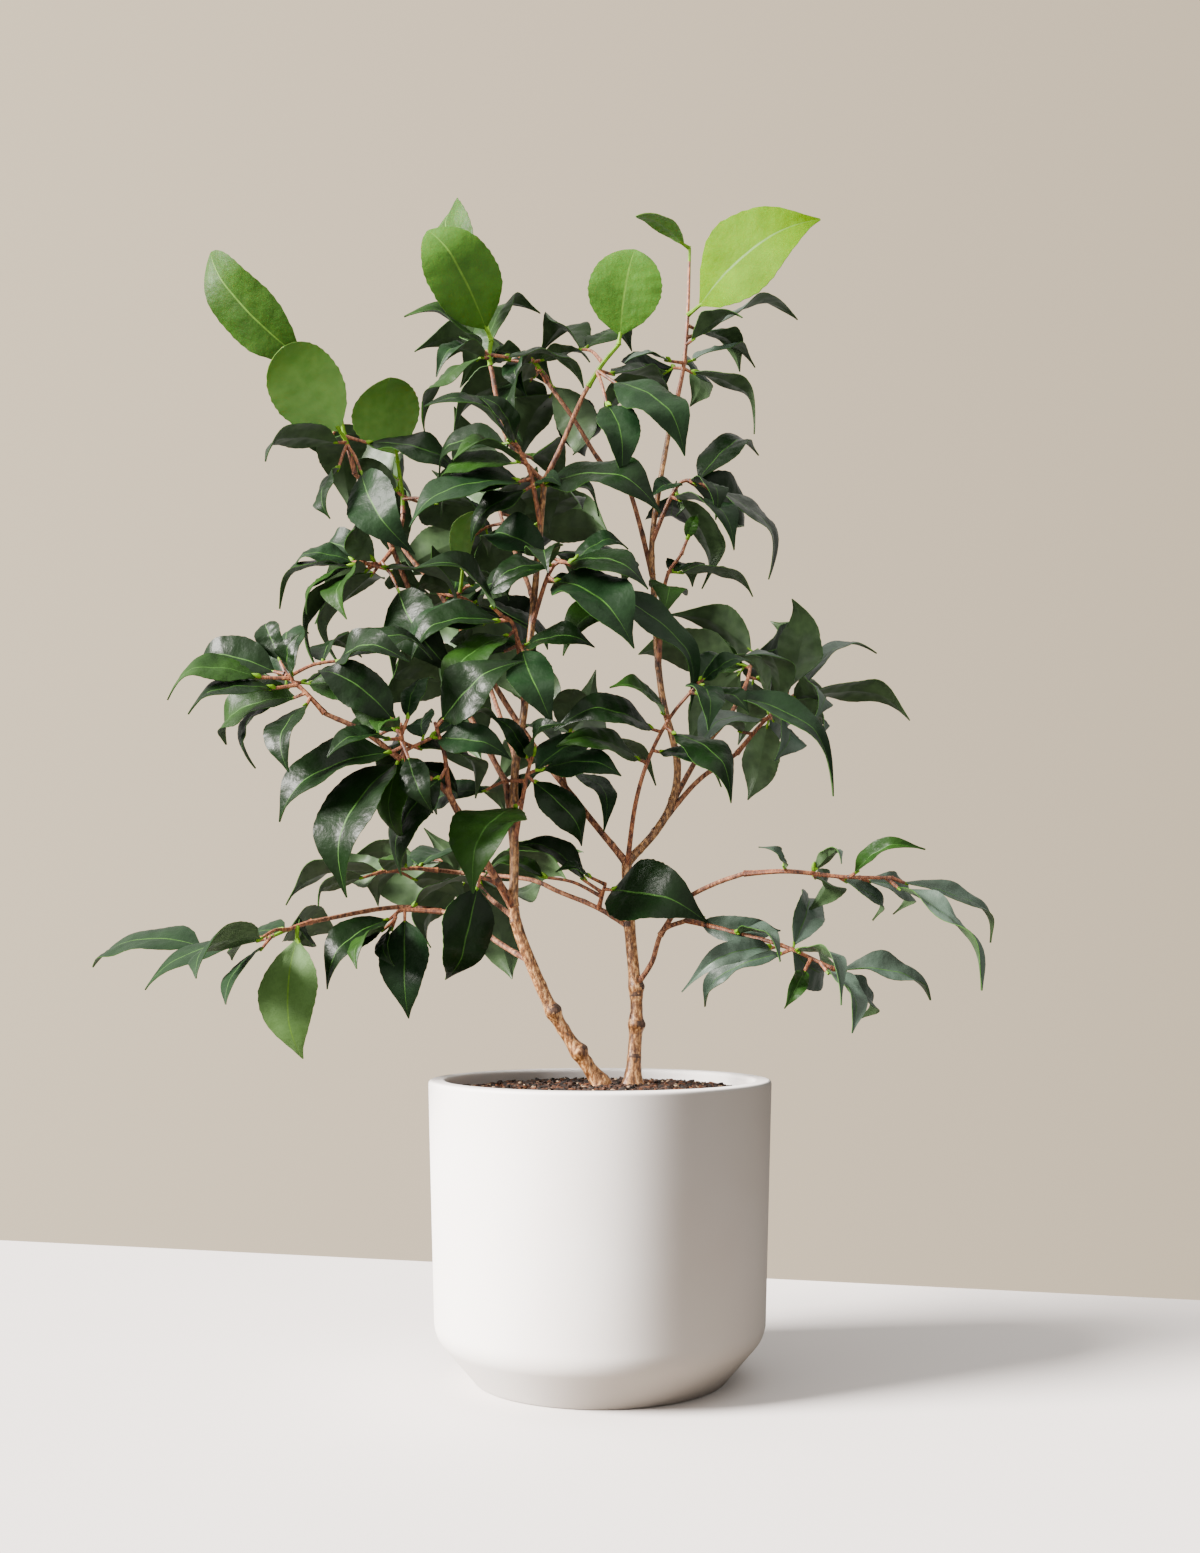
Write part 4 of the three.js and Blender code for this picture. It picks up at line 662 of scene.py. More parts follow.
def dull_leaf(name, dark, light, glow):
    # Under side of a leaf: no wax, so a pale matt green, mottled over some 9 mm.
    material, tree, space = blank(name)
    drift = node(tree, "TexNoise", {"Vector": space, "Scale": 1000 / 9, "Detail": 4})
    green = node(tree, "ValToRGB", {"Fac": drift}, ((0.32, dark), (0.68, light)))
    dress(tree, {"Base Color": green, "Roughness": 0.5, "IOR": 1.45, "Specular IOR Level": 0.3,
                 "Subsurface Weight": glow, "Subsurface Scale": MM})
    return material


def leaf_rib(name, dark, light):
    # Midrib or green shoot: firm tissue without wax, paler than the blade and hardly glossy, streaked
    # over some 4 mm.
    material, tree, space = blank(name)
    streaks = node(tree, "TexNoise", {"Vector": space, "Scale": 1000 / 4, "Detail": 2})
    pale = node(tree, "ValToRGB", {"Fac": streaks}, ((0.3, dark), (0.7, light)))
    dress(tree, {"Base Color": pale, "Roughness": 0.6, "IOR": 1.45, "Specular IOR Level": 0.2})
    return material


def thin_bark(name, dark, middle, light, roughness=0.75):
    # Camellia bark: thin, close and smooth, dull on twigs and with a low sheen on stems. Lengthwise
    # flecks some 2 mm wide lie over stains about 5 mm wide; fine cracks drawn at 1.2 mm raise its skin.
    material, tree, space = blank(name)
    run = node(tree, "Mapping", {"Vector": space, "Scale": (1, 1, 0.4)})
    flecks = node(tree, "TexNoise", {"Vector": run, "Scale": 1000 / 2, "Detail": 5, "Roughness": 0.65})
    tone = node(tree, "ValToRGB", {"Fac": flecks}, ((0.38, dark), (0.64, light), (0.5, middle)))
    stains = node(tree, "TexNoise", {"Vector": run, "Scale": 1000 / 5, "Detail": 5})
    shade = node(tree, "ValToRGB", {"Fac": stains}, ((0.34, "#765a48"), (0.46, "#ffffff")))
    both = node(tree, "MixRGB", {"Fac": 0.85, "Color1": tone, "Color2": shade}, blend_type="MULTIPLY")
    cracks = node(tree, "TexNoise", {"Vector": run, "Scale": 1000 / 1.2, "Detail": 4})
    skin = node(tree, "Bump", {"Height": cracks, "Distance": 0.3 * MM, "Strength": 0.7})
    dress(tree, {"Base Color": both, "Normal": skin, "Roughness": roughness, "IOR": 1.45})
    return material


def bark_crumb(name, dark, light):
    # Composted bark and coir: broken, fibrous and dry, so it is dull, with grain drawn at 1.5 mm.
    material, tree, space = blank(name)
    grain = node(tree, "TexNoise", {"Vector": space, "Scale": 1000 / 1.5, "Detail": 4})
    tone = node(tree, "ValToRGB", {"Fac": grain}, ((0.35, dark), (0.65, light)))
    skin = node(tree, "Bump", {"Height": grain, "Distance": 0.4 * MM, "Strength": 0.8})
    dress(tree, {"Base Color": tone, "Normal": skin, "Roughness": 0.95, "IOR": 1.45})
    return material


def white_slip():
    # Fired clay dipped in a matt white slip: even off-white with a faint cloud some 60 mm wide and
    # a dusty grain, drawn at 1 mm.
    material, tree, space = blank("matt_white_slip")
    cloud = node(tree, "TexNoise", {"Vector": space, "Scale": 1000 / 60, "Detail": 2})
    white = node(tree, "ValToRGB", {"Fac": cloud}, ((0.3, "#faf3ee"), (0.7, "#fdf8f4")))
    grain = node(tree, "TexNoise", {"Vector": space, "Scale": 1000, "Detail": 3})
    skin = node(tree, "Bump", {"Height": grain, "Distance": 0.03 * MM, "Strength": 0.4})
    dress(tree, {"Base Color": white, "Normal": skin, "Roughness": 0.55, "IOR": 1.5})
    return material


# ---- leaves
# share of the leaf's length, share of its half width
BLADE_OUTLINE = ((0, 0.04), (0.05, 0.2), (0.14, 0.56), (0.28, 0.87), (0.43, 1), (0.58, 0.95),
                 (0.7, 0.81), (0.8, 0.59), (0.88, 0.34), (0.94, 0.15), (1, 0.02))
ROUND_OUTLINE = ((0, 0.04), (0.05, 0.26), (0.14, 0.6), (0.28, 0.88), (0.43, 1), (0.58, 0.99),
                 (0.72, 0.88), (0.84, 0.67), (0.92, 0.45), (0.97, 0.24), (1, 0.04))
BLADE_ROWS = 28
BLADE_COLUMNS = np.array((-1, -0.72, -0.38, -0.028, 0.028, 0.38, 0.72, 1))
RIB_COLUMN = 3
BLADE_THICKNESS = 0.5
VEIN_PAIRS = 7
VEIN_RELIEF = 0.7
TOOTH_DEPTH = 0.022
UPPER, RIB, UNDER = 0, 1, 2
# half width of a blade as a share of its plain width
SLIM_HALF, GROWN_HALF, YOUNG_HALF = 0.33, 0.465, 0.5
# how far a blade folds, twists, curls and waves
FLAT_LIMP, GROWN_LIMP, SLIM_LIMP = 0.5, 1.2, 1.4
SLIM_FOLD = 0.3
GROWN, YOUNG, OPENED = 1, 2, 3
# sprays of narrow, waved leaves
SLIM_SPRAYS = ("arch", "right_low")
# a sheltered spray, whose leaves stay flatter and a duller green
SHELTERED_SPRAYS = ("low_left",)


def blade_faces():
    """Faces of the closed leaf grid and the side that each one is on."""
    columns = len(BLADE_COLUMNS)
    below = BLADE_ROWS * columns
    faces, marks = [], []
    for row in range(BLADE_ROWS - 1):
        for column in range(columns - 1):
            a = row * columns + column
            b, c, d = a + 1, a + columns + 1, a + columns
            faces += [(a, b, c, d), (a + below, d + below, c + below, b + below)]
            marks += [RIB if column == RIB_COLUMN else UPPER, UNDER]
        a = row * columns
        d = a + columns
        faces.append((a, d, d + below, a + below))
        b = a + columns - 1
        c = b + columns
        faces.append((c, b, b + below, c + below))
        marks += [RIB, RIB]
    for column in range(columns - 1):
        a = column
        faces.append((a + 1, a, a + below, a + 1 + below))
        d = (BLADE_ROWS - 1) * columns + column
        faces.append((d, d + 1, d + 1 + below, d + below))
        marks += [UNDER, UNDER]
    return faces, marks


BLADE_FACES, BLADE_MARKS = blade_faces()


def add_blade(pile, spray, leaf, draw):
    """A closed leaf: folded along its midrib, edges turned down, veins raised, tip curled under."""
    base, tip, normal = leaf["base"], leaf["tip"], leaf["normal"]
    length = np.linalg.norm(tip - base)
    direction = unit(tip - base)
    side = np.cross(direction, normal)
    slim = spray in SLIM_SPRAYS
    flat = leaf["age"] >= YOUNG or spray in SHELTERED_SPRAYS
    # each blade's own fold, turned-down edges, sweep, twist, curl and waves
    limp = FLAT_LIMP if flat else SLIM_LIMP if slim else GROWN_LIMP
    fold = 0.06 + (0.1 + draw() * 0.25) * limp + (SLIM_FOLD if slim else 0)
    turn_down = 0.08 + draw() * 0.2 * limp
    sweep = (draw() - 0.5) * 0.1 * limp
    twist = (draw() - 0.5) * 0.7 * limp
    curl = (0.1 + draw() * 0.2) * limp
    ripple = (0.015 + draw() * 0.035) * limp
    phase = draw() * FULL_TURN

    # half width, bow and sideways sweep at each row
    t = np.linspace(0, 1, BLADE_ROWS)
    outline = ROUND_OUTLINE if leaf["age"] == YOUNG else BLADE_OUTLINE
    broad = SLIM_HALF if slim else YOUNG_HALF if leaf["age"] >= YOUNG else GROWN_HALF
    half = np.maximum(leaf["width"] * broad * np.interp(t, *np.transpose(outline)), 0.45)
    bow = LEAF_BOW * length * 4 * t * (1 - t) - curl * length * np.clip((t - 0.68) / 0.32, 0, 1) ** 2
    drift = sweep * length * np.sin(math.pi * t)
    middle = base + np.outer(t * length, direction) + np.outer(bow, normal) + np.outer(drift, side)

    # the way across the blade and the way out of its face, rolled about its run
    run = np.gradient(middle, axis=0)
    run /= np.linalg.norm(run, axis=1, keepdims=True)
    lateral = side - run * (run @ side)[:, None]
    lateral /= np.linalg.norm(lateral, axis=1, keepdims=True)
    face = np.cross(lateral, run)
    roll = (twist * (t - 0.25))[:, None]
    cos, sin = np.cos(roll), np.sin(roll)
    lateral, face = lateral * cos + face * sin, face * cos - lateral * sin

    # teeth, fold, veins and waves
    spread = np.abs(BLADE_COLUMNS)
    swell = np.sin(math.pi * t)[:, None]
    across = np.outer(half, BLADE_COLUMNS)
    across[1::2, (0, -1)] *= 1 - TOOTH_DEPTH
    lift = np.outer(half, fold * spread - turn_down * spread ** 2)
    vein = np.cos(2 * math.pi * VEIN_PAIRS * (t[:, None] - 0.16 * spread))
    lift += VEIN_RELIEF * vein * (spread * (1 - spread) * 4) * swell
    wave = np.sin(3.1 * math.pi * t[:, None] + phase + (BLADE_COLUMNS > 0) * 1.7)
    lift += ripple * length * wave * spread ** 2 * swell
    small_wave = np.sin(6.1 * math.pi * t[:, None] + 2 * phase + 2.1 * BLADE_COLUMNS)
    lift += limp * 0.35 * small_wave * swell
    upper = middle[:, None] + lateral[:, None] * across[..., None] + face[:, None] * lift[..., None]
    under = upper - face[:, None] * BLADE_THICKNESS
    under[:, (RIB_COLUMN, RIB_COLUMN + 1)] -= face[:, None] * 0.6
    vertices = np.vstack((upper.reshape(-1, 3), under.reshape(-1, 3)))
    pile.add("foliage_" + spray, vertices, BLADE_FACES, BLADE_MARKS)


# ---- twigs and buds
BROWN, GREEN = 0, 1
TWIG_SIDES = 7
TWIG_SWELL = 0.3
STEM_FOOT, STEM_TIP, GREEN_STEM_TIP = 1.9, 1.2, 1.5
BUD_CHANCE = 0.6
BUD_SHAPE = (0.5, 0.86, 1.0, 0.92, 0.7, 0.4, 0.06)
BUD_SIDES = 8


def add_twig(pile, spray, points, thick, thin, green_from):
    """A tapering twig through the points, green past a share of its length."""
    steps = 5 * (len(points) - 1)
    shares = [step / steps for step in range(steps + 1)]
    centres = [along_path(points, share) for share in shares]
    radii = [(thick + (thin - thick) * share) * (1 + TWIG_SWELL * math.exp(-share * 14))
             for share in shares]
    vertices, faces = tube(centres, radii, TWIG_SIDES)
    marks = [GREEN if k // TWIG_SIDES >= steps * green_from else BROWN for k in range(len(faces))]
    pile.add("foliage_" + spray, vertices, faces, marks)


def add_bud(pile, spray, foot, direction, length, radius):
    """A pointed bud, its scales laid round it in a spiral ridge."""
    scales = 2 * ring_angles(BUD_SIDES)
    centres = [foot + direction * length * k / (len(BUD_SHAPE) - 1) for k in range(len(BUD_SHAPE))]
    radii = [radius * wide * (1 + 0.12 * np.cos(scales + k * 1.4)) for k, wide in enumerate(BUD_SHAPE)]
    vertices, faces = tube(centres, radii, BUD_SIDES)
    pile.add("foliage_" + spray, vertices, faces, GREEN)


def add_stalk(twigs, buds, spray, leaf, draw):
    """The twig of a shoot, or a side leaf's short stalk, and the bud beside it."""
    base, direction = leaf["base"], unit(leaf["tip"] - leaf["base"])
    young, ends_twig = leaf["age"] >= YOUNG, leaf["ends_twig"]
    if ends_twig:
        thick, thin, green_from = 1.7 if young else 1.4, 0.95, 0 if young else 0.6
    else:
        thick, thin, green_from = 1.05, 0.8, 0
    add_twig(twigs, spray, [*leaf["stalk"], base, base + direction * 4], thick, thin, green_from)
    if draw() < BUD_CHANCE:
        aside = unit(direction * 0.9 + UP * 0.5 + np.cross(direction, leaf["normal"]) * (draw() - 0.5))
        size = 5 + draw() * 4 if ends_twig else 3 + draw() * 2
        add_bud(buds, spray, leaf["stalk"][-1] * 0.12 + base * 0.88, aside, size, size * 0.23)


# ---- stems and boughs
BARK_STEP = 1.6
BARK_SIDES = 22
BARK, SCAR = 0, 1
ROOT_DEPTH = 5
# growth of the radius at a stem's foot, in three lobes, and where a bough leaves its parent
ROOT_LOBES, COLLAR = 0.3, 0.4
# a knot of a stem: growth on one side, the side it faces and its length
KNOT_SWELL, KNOT_FACING, KNOT_SIZE = 0.2, 5.2, 4.2


def scar_places(length, draw):
    """Old leaf scars: how far along, how much they swell, which way they face and how long they are."""
    places = []
    run = 14 + draw() * 10
    while run < length - 6:
        places.append((run, 0.05 + draw() * 0.08, draw() * FULL_TURN, 2.2 + draw()))
        run += 22 + draw() * 30
    return places


def add_limb(pile, name, order):
    """A fine tube with knots, scars, lengthwise ridges and a collar where it leaves its parent."""
    grounded = name in KNOTS
    points = limb_path(name)
    coarse = [along_path(points, k / 60) for k in range(61)]
    length = sum(np.linalg.norm(b - a) for a, b in zip(coarse, coarse[1:]))
    steps = int(length / BARK_STEP)
    draw = seeded(900 + order)
    scars = scar_places(length, draw)
    for place, _ in KNOTS.get(name, ()):
        scars.append((place * length, KNOT_SWELL, KNOT_FACING + draw(), KNOT_SIZE))
    angles = ring_angles(BARK_SIDES)
    centres, radii, marks = [], [], [BARK]
    for step in range(steps + 1):
        share = step / steps
        run = share * length
        around = np.ones(BARK_SIDES)
        if grounded:
            around += ROOT_LOBES * math.exp(-run / 8) * (0.5 + 0.5 * np.cos(3 * angles + order))
        else:
            around += COLLAR * math.exp(-run / 6)
        dark = np.zeros(BARK_SIDES, dtype=bool)
        for place, swell, facing, size in scars:
            near = math.exp(-(((run - place) / size) ** 2))
            around += swell * near * (1 + 0.8 * np.cos(angles - facing))
            dark |= (near > 0.6) & (np.cos(angles - facing) > 1.5 - near * 0.9)
        for k, angle in enumerate(angles):
            spot = Vector((math.cos(angle) * 2.2, math.sin(angle) * 2.2, run * 0.07 + order * 9))
            around[k] += 0.08 * noise.noise(spot) + 0.04 * noise.noise(spot * 3.1)
        centres.append(along_path(points, share))
        radii.append(limb_radius(name, share) * around)
        if step < steps:
            marks += [SCAR if spot else BARK for spot in dark]
    if grounded:
        centres.insert(0, centres[0] - UP * ROOT_DEPTH)
        radii.insert(0, radii[0] * 1.1)
        marks[1:1] = [BARK] * BARK_SIDES
    marks.append(BARK)
    vertices, faces = tube(centres, radii, BARK_SIDES, grounded)
    pile.add(name, vertices, faces, marks)


# ---- pot
POT_OUTLINE = (
    (0, 0), (POT_FOOT_RADIUS, 0), (POT_SHOULDER_RADIUS, POT_SHOULDER_HEIGHT),
    (POT_RIM_RADIUS, POT_HEIGHT), (POT_INNER_RADIUS, POT_HEIGHT),
    (POT_INNER_RADIUS - 6, POT_SHOULDER_HEIGHT + 6), (POT_FOOT_RADIUS - 8, POT_FLOOR), (0, POT_FLOOR),
)
POT_ROUNDING = (1.5, 9, 3, 3, 6, 4)
POT_SIDES = 160


def eased(outline, rounding, steps=7):
    """The outline with each inner corner rounded off over its own distance."""
    corners = [vec(*corner) for corner in outline]
    eased_points = [tuple(corners[0])]
    for before, corner, after, ease in zip(corners, corners[1:], corners[2:], rounding):
        start = corner + unit(before - corner) * ease
        end = corner + unit(after - corner) * ease
        for k in range(steps):
            t = k / (steps - 1)
            eased_points.append(tuple(start * (1 - t) ** 2 + corner * 2 * t * (1 - t) + end * t * t))
    eased_points.append(tuple(corners[-1]))
    return eased_points


def build_pot():
    pot = Pile("pot_body", [white_slip()], "pot")
    vertices, faces = turned(eased(POT_OUTLINE, POT_ROUNDING), POT_SIDES)
    pot.add("pot", vertices, faces)
    pot.build()


# ---- soil
SOIL_RINGS = 36
SOIL_SIDES = 120
CRUMB_COUNT = 4420
STRAND_COUNT = 150
# crumbs up to each share of them are as dark as the bed, then brown, then rust, the rest pale
CRUMB_SHARES = (0.4, 0.8, 0.94)
SOIL_KINDS = (
    ("bed", "dark_compost", "#0b0704", "#1d130c"),
    ("crumbs_brown", "brown_bark_crumb", "#24140b", "#3c2415"),
    ("crumbs_rust", "rust_bark_crumb", "#46250f", "#653b1f"),
    ("crumbs_pale", "pale_bark_crumb", "#80654a", "#9e8a71"),
)


def soil_height(x, y):
    """Height of the bed: a low mound, uneven over some 16 mm and again over 4 mm."""
    radius = math.hypot(x, y)
    share = min(max((radius - SOIL_FLAT_RADIUS) / (POT_INNER_RADIUS - SOIL_FLAT_RADIUS), 0), 1)
    spot = Vector((x * 0.06, y * 0.06, 3))
    mound = SOIL_TOP - 1.6 + (SOIL_EDGE - SOIL_TOP) * share ** 1.5
    return mound + 1.1 * noise.noise(spot) + 0.6 * noise.noise(spot * 4)


def soil_outline(top_rings):
    """Foot, walls and top of the bed; it stands just clear of the pot's inner wall."""
    low_wall = POT_SHOULDER_HEIGHT + 6
    edge = POT_INNER_RADIUS - 6 + 6 * (SOIL_EDGE - low_wall) / (POT_HEIGHT - low_wall) - GAP * 1.5
    outline = [(0, POT_FLOOR + GAP), (POT_FOOT_RADIUS - 8 - GAP, POT_FLOOR + GAP)]
    outline.append((POT_INNER_RADIUS - 6 - GAP * 1.5, low_wall + GAP))
    outline += [(edge * (1 - k / top_rings), SOIL_EDGE) for k in range(top_rings)]
    return outline + [(0, SOIL_TOP)]


def lump():
    """A twenty-sided ball of radius 1."""
    golden = (1 + math.sqrt(5)) / 2
    corners = []
    for a in (-1, 1):
        for b in (-golden, golden):
            corners += [(0, a, b), (a, b, 0), (b, 0, a)]
    corners = np.array(corners) / math.hypot(1, golden)
    near = 2 / math.hypot(1, golden) * 1.01
    faces = []
    for i in range(12):
        for j in range(i + 1, 12):
            for k in range(j + 1, 12):
                a, b, c = corners[i], corners[j], corners[k]
                if max(np.linalg.norm(a - b), np.linalg.norm(b - c), np.linalg.norm(c - a)) < near:
                    outward = np.cross(b - a, c - a).dot(a) > 0
                    faces.append((i, j, k) if outward else (i, k, j))
    return corners, faces


def build_soil():
    """The bed, the crumbs and chips that lie on it, and coir strands."""
    kinds = [Pile(f"soil_{kind}", [bark_crumb(*look)], "soil") for kind, *look in SOIL_KINDS]
    vertices, faces = turned(soil_outline(SOIL_RINGS), SOIL_SIDES)
    for vertex in vertices[1 + 2 * SOIL_SIDES:]:
        vertex[2] = soil_height(vertex[0], vertex[1])
    kinds[0].add("soil", vertices, faces)
    draw = seeded(77)
    corners, sides = lump()
    reach = POT_INNER_RADIUS - 6
    for _ in range(CRUMB_COUNT):
        radius, heading = reach * math.sqrt(draw()), draw() * FULL_TURN
        x, y = radius * math.cos(heading), radius * math.sin(heading)
        size = 0.7 + 1.6 * draw() ** 2
        stretch = vec(1 + draw() * 1.2, 0.7 + draw() * 0.5, 0.45 + draw() * 0.5) * size
        shape = corners * stretch * (0.8 + 0.4 * np.array([[draw()] for _ in corners]))
        turn, tilt = draw() * FULL_TURN, (draw() - 0.5) * 1.2
        shape = np.array([turned_about(turned_about(p, vec(0, 1, 0), math.degrees(tilt)), UP,
                                       math.degrees(turn)) for p in shape])
        share = draw()
        kind = sum(share >= limit for limit in CRUMB_SHARES)
        kinds[kind].add("soil", shape + vec(x, y, soil_height(x, y) + size * 0.25), sides)
    for _ in range(STRAND_COUNT):
        radius, heading = (reach - 8) * math.sqrt(draw()), draw() * FULL_TURN
        x, y, turn = radius * math.cos(heading), radius * math.sin(heading), draw() * FULL_TURN
        long, bend = 4 + draw() * 7, (draw() - 0.5) * 5
        centres = []
        for t in (-1, -0.5, 0, 0.5, 1):
            px = x + math.cos(turn) * t * long - math.sin(turn) * bend * t * t
            py = y + math.sin(turn) * t * long + math.cos(turn) * bend * t * t
            centres.append(vec(px, py, soil_height(px, py) + 0.5 + 0.6 * (1 - t * t)))
        kinds[2 if draw() < 0.6 else 1].add("soil", *tube(centres, [0.28] * 5, 5))
    for kind in kinds:
        kind.build()


# ---- shrub
def build_limbs():
    """Bark of the stems, the leaders and the boughs, redder the younger they are."""
    tan = thin_bark("tan_stem_bark", "#3f2611", "#7c4e27", "#c79a66", 0.44)
    brown = thin_bark("brown_bough_bark", "#3d2614", "#6d4826", "#a87d4e", 0.5)
    red = thin_bark("red_brown_twig_bark", "#43241a", "#6f442b", "#986a49")
    scar = thin_bark("dark_leaf_scar", "#2c1c13", "#422c20", "#5a4030")
    stems = Pile("stems_bark", [tan, scar], "old_bark")
    leaders = Pile("leaders_bark", [brown, scar], "young_bark")
    boughs = Pile("boughs_bark", [red, scar], "young_bark")
    for order, name in enumerate(LIMBS):
        pile = stems if name.startswith("stem") else leaders if name.startswith("leader") else boughs
        add_limb(pile, name, order)
    return [pile.build() for pile in (stems, leaders, boughs)]


# green: its age and slot, darkest and lightest colour, roughness, gloss and light let through
GREENS = {
    "deep": ("grown", "old_foliage", "#061304", "#0b1d08", 0.38, 0.12, 0),
    "blue": ("grown", "old_foliage", "#0a1b0b", "#132712", 0.44, 0.1, 0),
    "mid": ("grown", "old_foliage", "#102607", "#1b350b", 0.44, 0.1, 0),
    # the grey green is a painted reflection: a grown green greyed by the pale wall that the wax would
    # mirror
    "grey": ("grown", "old_foliage", "#222f24", "#324237", 0.5, 0.3, 0),
    "sage": ("young", "young_foliage", "#365024", "#425d30", 0.6, 0.12, 0),
    "olive": ("young", "young_foliage", "#203a09", "#2c4a11", 0.5, 0.1, 0.2),
    "fresh": ("young", "young_foliage", "#2a4a0e", "#385d16", 0.5, 0.12, 0.2),
    "pale": ("young", "young_foliage", "#3c5800", "#486802", 0.6, 0.03, 0.15),
}
# a young leaf longer than this has begun to darken
FRESH_LENGTH = 105
# sprays whose grown leaves mostly take the grey green: a painted reflection, their green greyed as if
# their wax mirrored the pale wall
GREY_SPRAYS = ("arch", "right_low", "right_mid", "top_right")
# share of a spray's stem past which it is still green
GREEN_FROM = {"top_mid": 0, "top_left": 0, "far_left_top": 0.3, "cross_top": 0.2, "top_right": 0.9,
              "low_left": 0.7, "heart_top": 0.3}


def leaf_piles():
    """A pile of leaves for each green, with the midrib and the under side of its age."""
    shared = {
        "grown": [leaf_rib("grown_leaf_midrib", "#21400f", "#31551b"),
                  dull_leaf("grown_leaf_under_side", "#26381f", "#364a2c", 0)],
        "young": [leaf_rib("young_leaf_midrib", "#3c5a12", "#4a6c1c"),
                  dull_leaf("young_leaf_under_side", "#4d752a", "#5a8236", 0.25)],
    }
    piles = {}
    for green, (era, slot, *look) in GREENS.items():
        upper = waxed_leaf(f"{era}_leaf_{green}_green", *look)
        piles[green] = Pile(f"leaves_{green}_1", [upper, *shared[era]], slot)
    return piles


def leaf_green(spray, age, length, chance):
    """The green of a leaf: young leaves by their age, grown ones by their spray and by chance."""
    if age == OPENED:
        return "sage" if spray in SHELTERED_SPRAYS else "pale"
    if age == YOUNG:
        return "olive" if length > FRESH_LENGTH else "fresh"
    # most grown leaves of these sprays take the grey green, a painted reflection of the pale wall
    if spray in GREY_SPRAYS and chance < 0.9:
        return "grey"
    if spray in SHELTERED_SPRAYS:
        return "blue"
    if age == GROWN:
        return "mid"
    return "deep" if chance < 0.5 else "blue" if chance < 0.88 else "mid"


def build_foliage():
    """Leaves, twigs and buds of every mass."""
    leaves = leaf_piles()
    looks = [thin_bark("reddish_twig_bark", "#47261a", "#713f25", "#95603a", 0.6),
             leaf_rib("green_shoot_skin", "#48690a", "#628a12")]
    twigs = Pile("twigs_1", looks, "young_bark")
    buds = Pile("buds_1", looks, "young_foliage")
    for order, (spray, mass) in enumerate(grow_shrub().items()):
        draw = seeded(500 + order)
        green_from = GREEN_FROM.get(spray, 2)
        tip = GREEN_STEM_TIP if green_from < 0.5 else STEM_TIP
        add_twig(twigs, spray, mass["path"], STEM_FOOT, tip, green_from)
        chance = 0
        for leaf in mass["leaves"]:
            chance = draw() if leaf["ends_twig"] else chance
            add_blade(leaves[leaf_green(spray, leaf["age"], leaf["length"], chance)], spray, leaf, draw)
            add_stalk(twigs, buds, spray, leaf, draw)
    return [pile.build() for pile in [*leaves.values(), twigs, buds]]


# ---- floor, light and camera
FLOOR_EDGE = ((-642, 571), (526, 262))
FLOOR_SPREAD = 1.25
FLOOR_FRONT = -480
CAMERA_PLACE = (0, -1.2, 0.294)
CAMERA_TILT = 0.115
CAMERA_LENS = 37.45
ROOM_LIGHT = 0.06
CEILING_LIGHT = 1.8
WALL_LIGHT = 1.85


def add_light(name, heading, height, spread, power, tone):
    """A broad far light, its heading in degrees round to the left and its height above level."""
    lamp = bpy.data.lights.new(name, "SUN")
    lamp.angle = math.radians(spread)
    lamp.energy = power
    lamp.color = colour(tone)[:3]
    holder = bpy.data.objects.new(name, lamp)
    around, rise = math.radians(heading), math.radians(height)
    place = (-math.sin(around) * math.cos(rise), -math.cos(around) * math.cos(rise), math.sin(rise))
    holder.location = place
    holder.rotation_euler = Vector(place).to_track_quat("Z", "Y").to_euler()
    bpy.context.collection.objects.link(holder)
    return holder


def build_floor():
    """A pale board, cut back along the line where the wall begins; to all but the camera it is a dark
    board, a painted shade.
    """
    left, right = vec(*FLOOR_EDGE[0]), vec(*FLOOR_EDGE[1])
    middle, half = (left + right) / 2, (right - left) / 2
    far_left, far_right = middle - half * FLOOR_SPREAD, middle + half * FLOOR_SPREAD
    corners = [far_left, far_right, (far_right[0], FLOOR_FRONT), (far_left[0], FLOOR_FRONT)]
    mesh = bpy.data.meshes.new("floor")
    mesh.from_pydata([(x * MM, y * MM, 0) for x, y in corners], [], [(3, 2, 1, 0)])
    material, tree, space = blank("pale_painted_board")
    cloud = node(tree, "TexNoise", {"Vector": space, "Scale": 3, "Detail": 2})
    paint = node(tree, "ValToRGB", {"Fac": cloud}, ((0.3, "#dcd6d3"), (0.7, "#e0dad7")))
    # painted shade: the camera sees the pale board, but light bounced onto the pot and plant meets a
    # dark board, which keeps the pot's shaded side dark
    seen = node(tree, "LightPath", {}).outputs["Is Camera Ray"]
    board = node(tree, "MixRGB", {"Fac": seen, "Color1": colour("#6e675f"), "Color2": paint})
    dress(tree, {"Base Color": board, "Roughness": 0.7, "Specular IOR Level": 0.2})
    mesh.materials.append(material)
    floor = bpy.data.objects.new("floor", mesh)
    bpy.context.collection.objects.link(floor)
    return floor


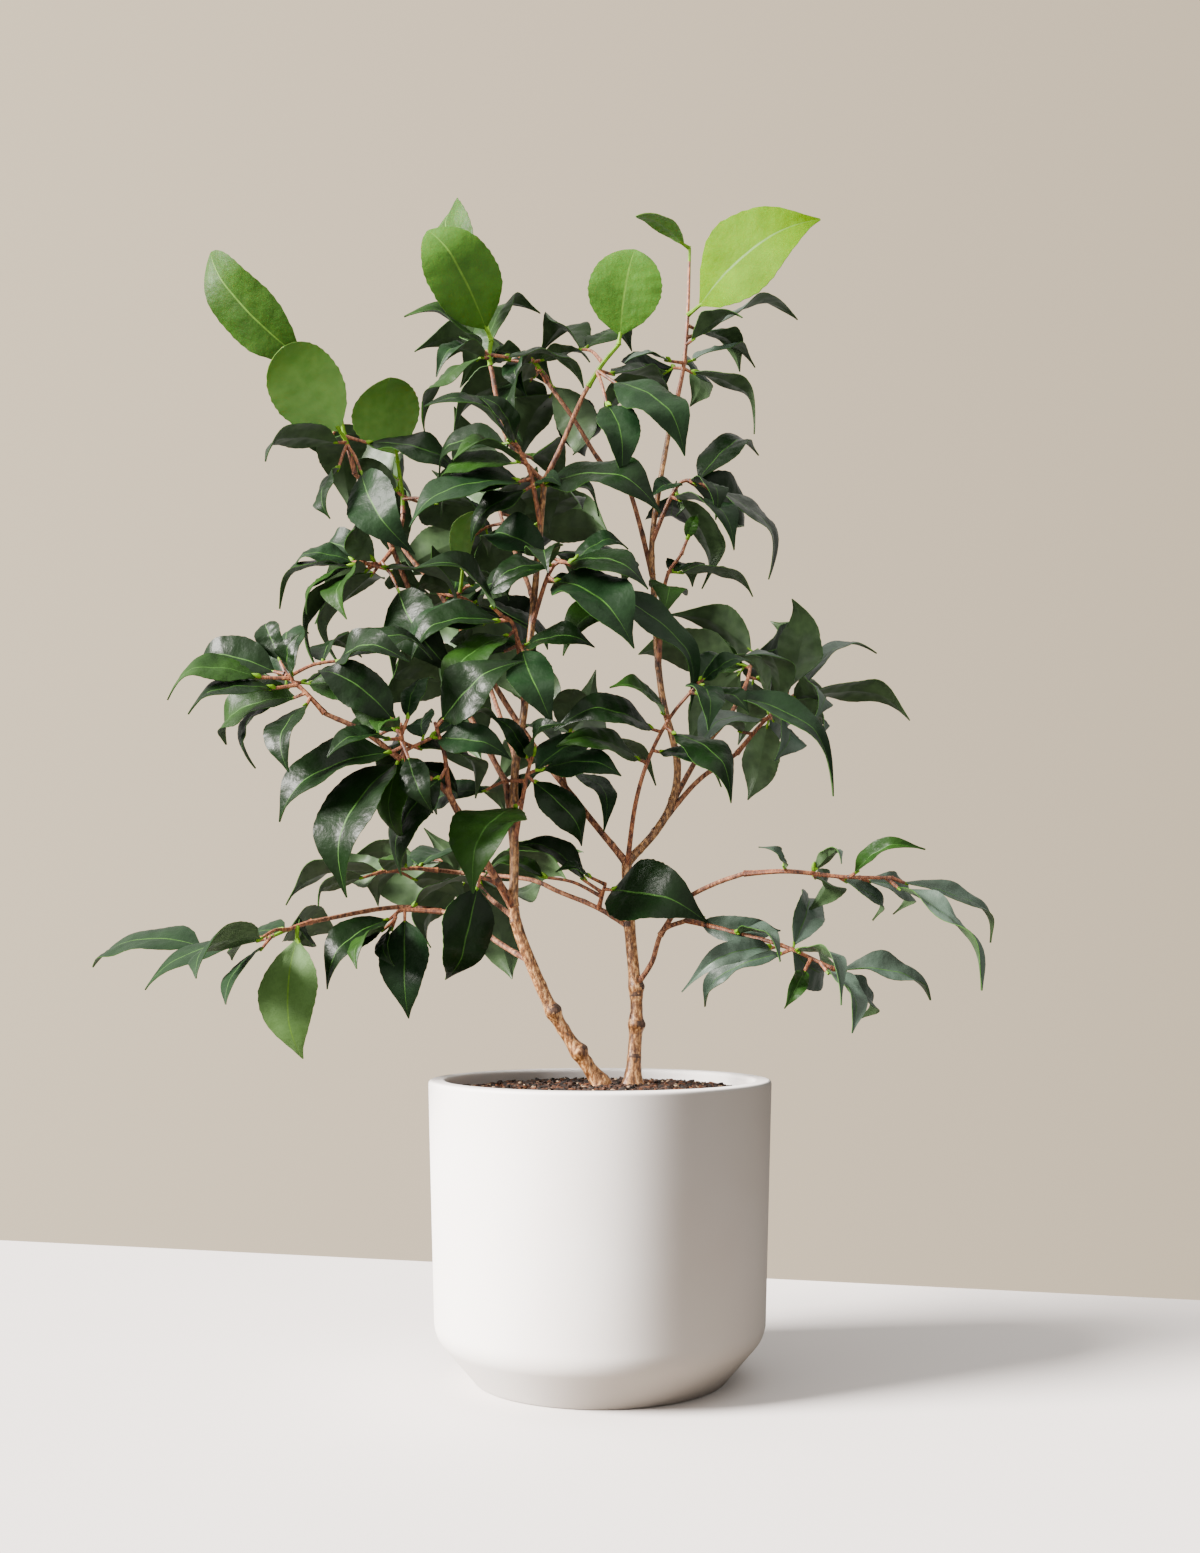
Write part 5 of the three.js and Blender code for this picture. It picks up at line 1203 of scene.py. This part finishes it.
def paint_room():
    """A wall to look at and a dim room with a brighter ceiling to light the plant. The wall has painted
    shade, darker to the right, away from the window.
    """
    world = bpy.data.worlds.new("plain_wall")
    bpy.context.scene.world = world
    world.use_nodes = True
    tree = world.node_tree
    tree.nodes.clear()
    heading = node(tree, "TexCoord", {}).outputs["Generated"]
    parts = node(tree, "SeparateXYZ", {"Vector": heading}).outputs
    height = node(tree, "Math", {0: parts["Z"], 1: 0.0}, operation="MAXIMUM")
    dome = node(tree, "Math", {0: height, 1: 3.0}, operation="POWER")
    level = node(tree, "Math", {0: dome, 1: CEILING_LIGHT, 2: ROOM_LIGHT}, operation="MULTIPLY_ADD")
    room = node(tree, "Background", {"Color": colour("#f1eeea"), "Strength": level})
    # painted shade: the wall the camera sees is lighter on the left, towards the window, and darker to
    # the right
    place = node(tree, "MapRange", {"Value": parts["X"], "From Min": -0.35, "From Max": 0.35})
    paint = node(tree, "ValToRGB", {"Fac": place}, ((0, "#dac7ac"), (1, "#bfae96")))
    wall = node(tree, "Background", {"Color": paint, "Strength": WALL_LIGHT})
    seen = node(tree, "LightPath", {}).outputs["Is Camera Ray"]
    mix = node(tree, "MixShader", {0: seen, 1: room, 2: wall})
    node(tree, "OutputWorld", {"Surface": mix})


def add_lights(shrub, floor):
    """A window on the left, and soft fills that reach the leaves and bark, or the floor, alone."""
    add_light("window_left", 71, 28, 22, 28, "#fff9f4")
    ground = bpy.data.collections.new("ground")
    ground.objects.link(floor)
    for name, heading, height, power, lit in (
            ("soft_front", 4, 12, 5.5, shrub),
            ("soft_back", 184, 30, 2.4, shrub),
            ("soft_top", 0, 80, 1.1, ground)):
        fill = add_light(name, heading, height, 150, power, "#fffaf2")
        fill.light_linking.receiver_collection = lit


def place_camera():
    lens = bpy.data.cameras.new("camera")
    lens.lens = CAMERA_LENS
    lens.sensor_width = 36
    camera = bpy.data.objects.new("camera", lens)
    camera.location = CAMERA_PLACE
    camera.rotation_euler = (math.pi / 2 + CAMERA_TILT, 0, 0)
    bpy.context.collection.objects.link(camera)
    bpy.context.scene.camera = camera


build_pot()
build_soil()
shrub = bpy.data.collections.new("shrub")
for piece in [*build_limbs(), *build_foliage()]:
    shrub.objects.link(piece)
paint_room()
add_lights(shrub, build_floor())
place_camera()
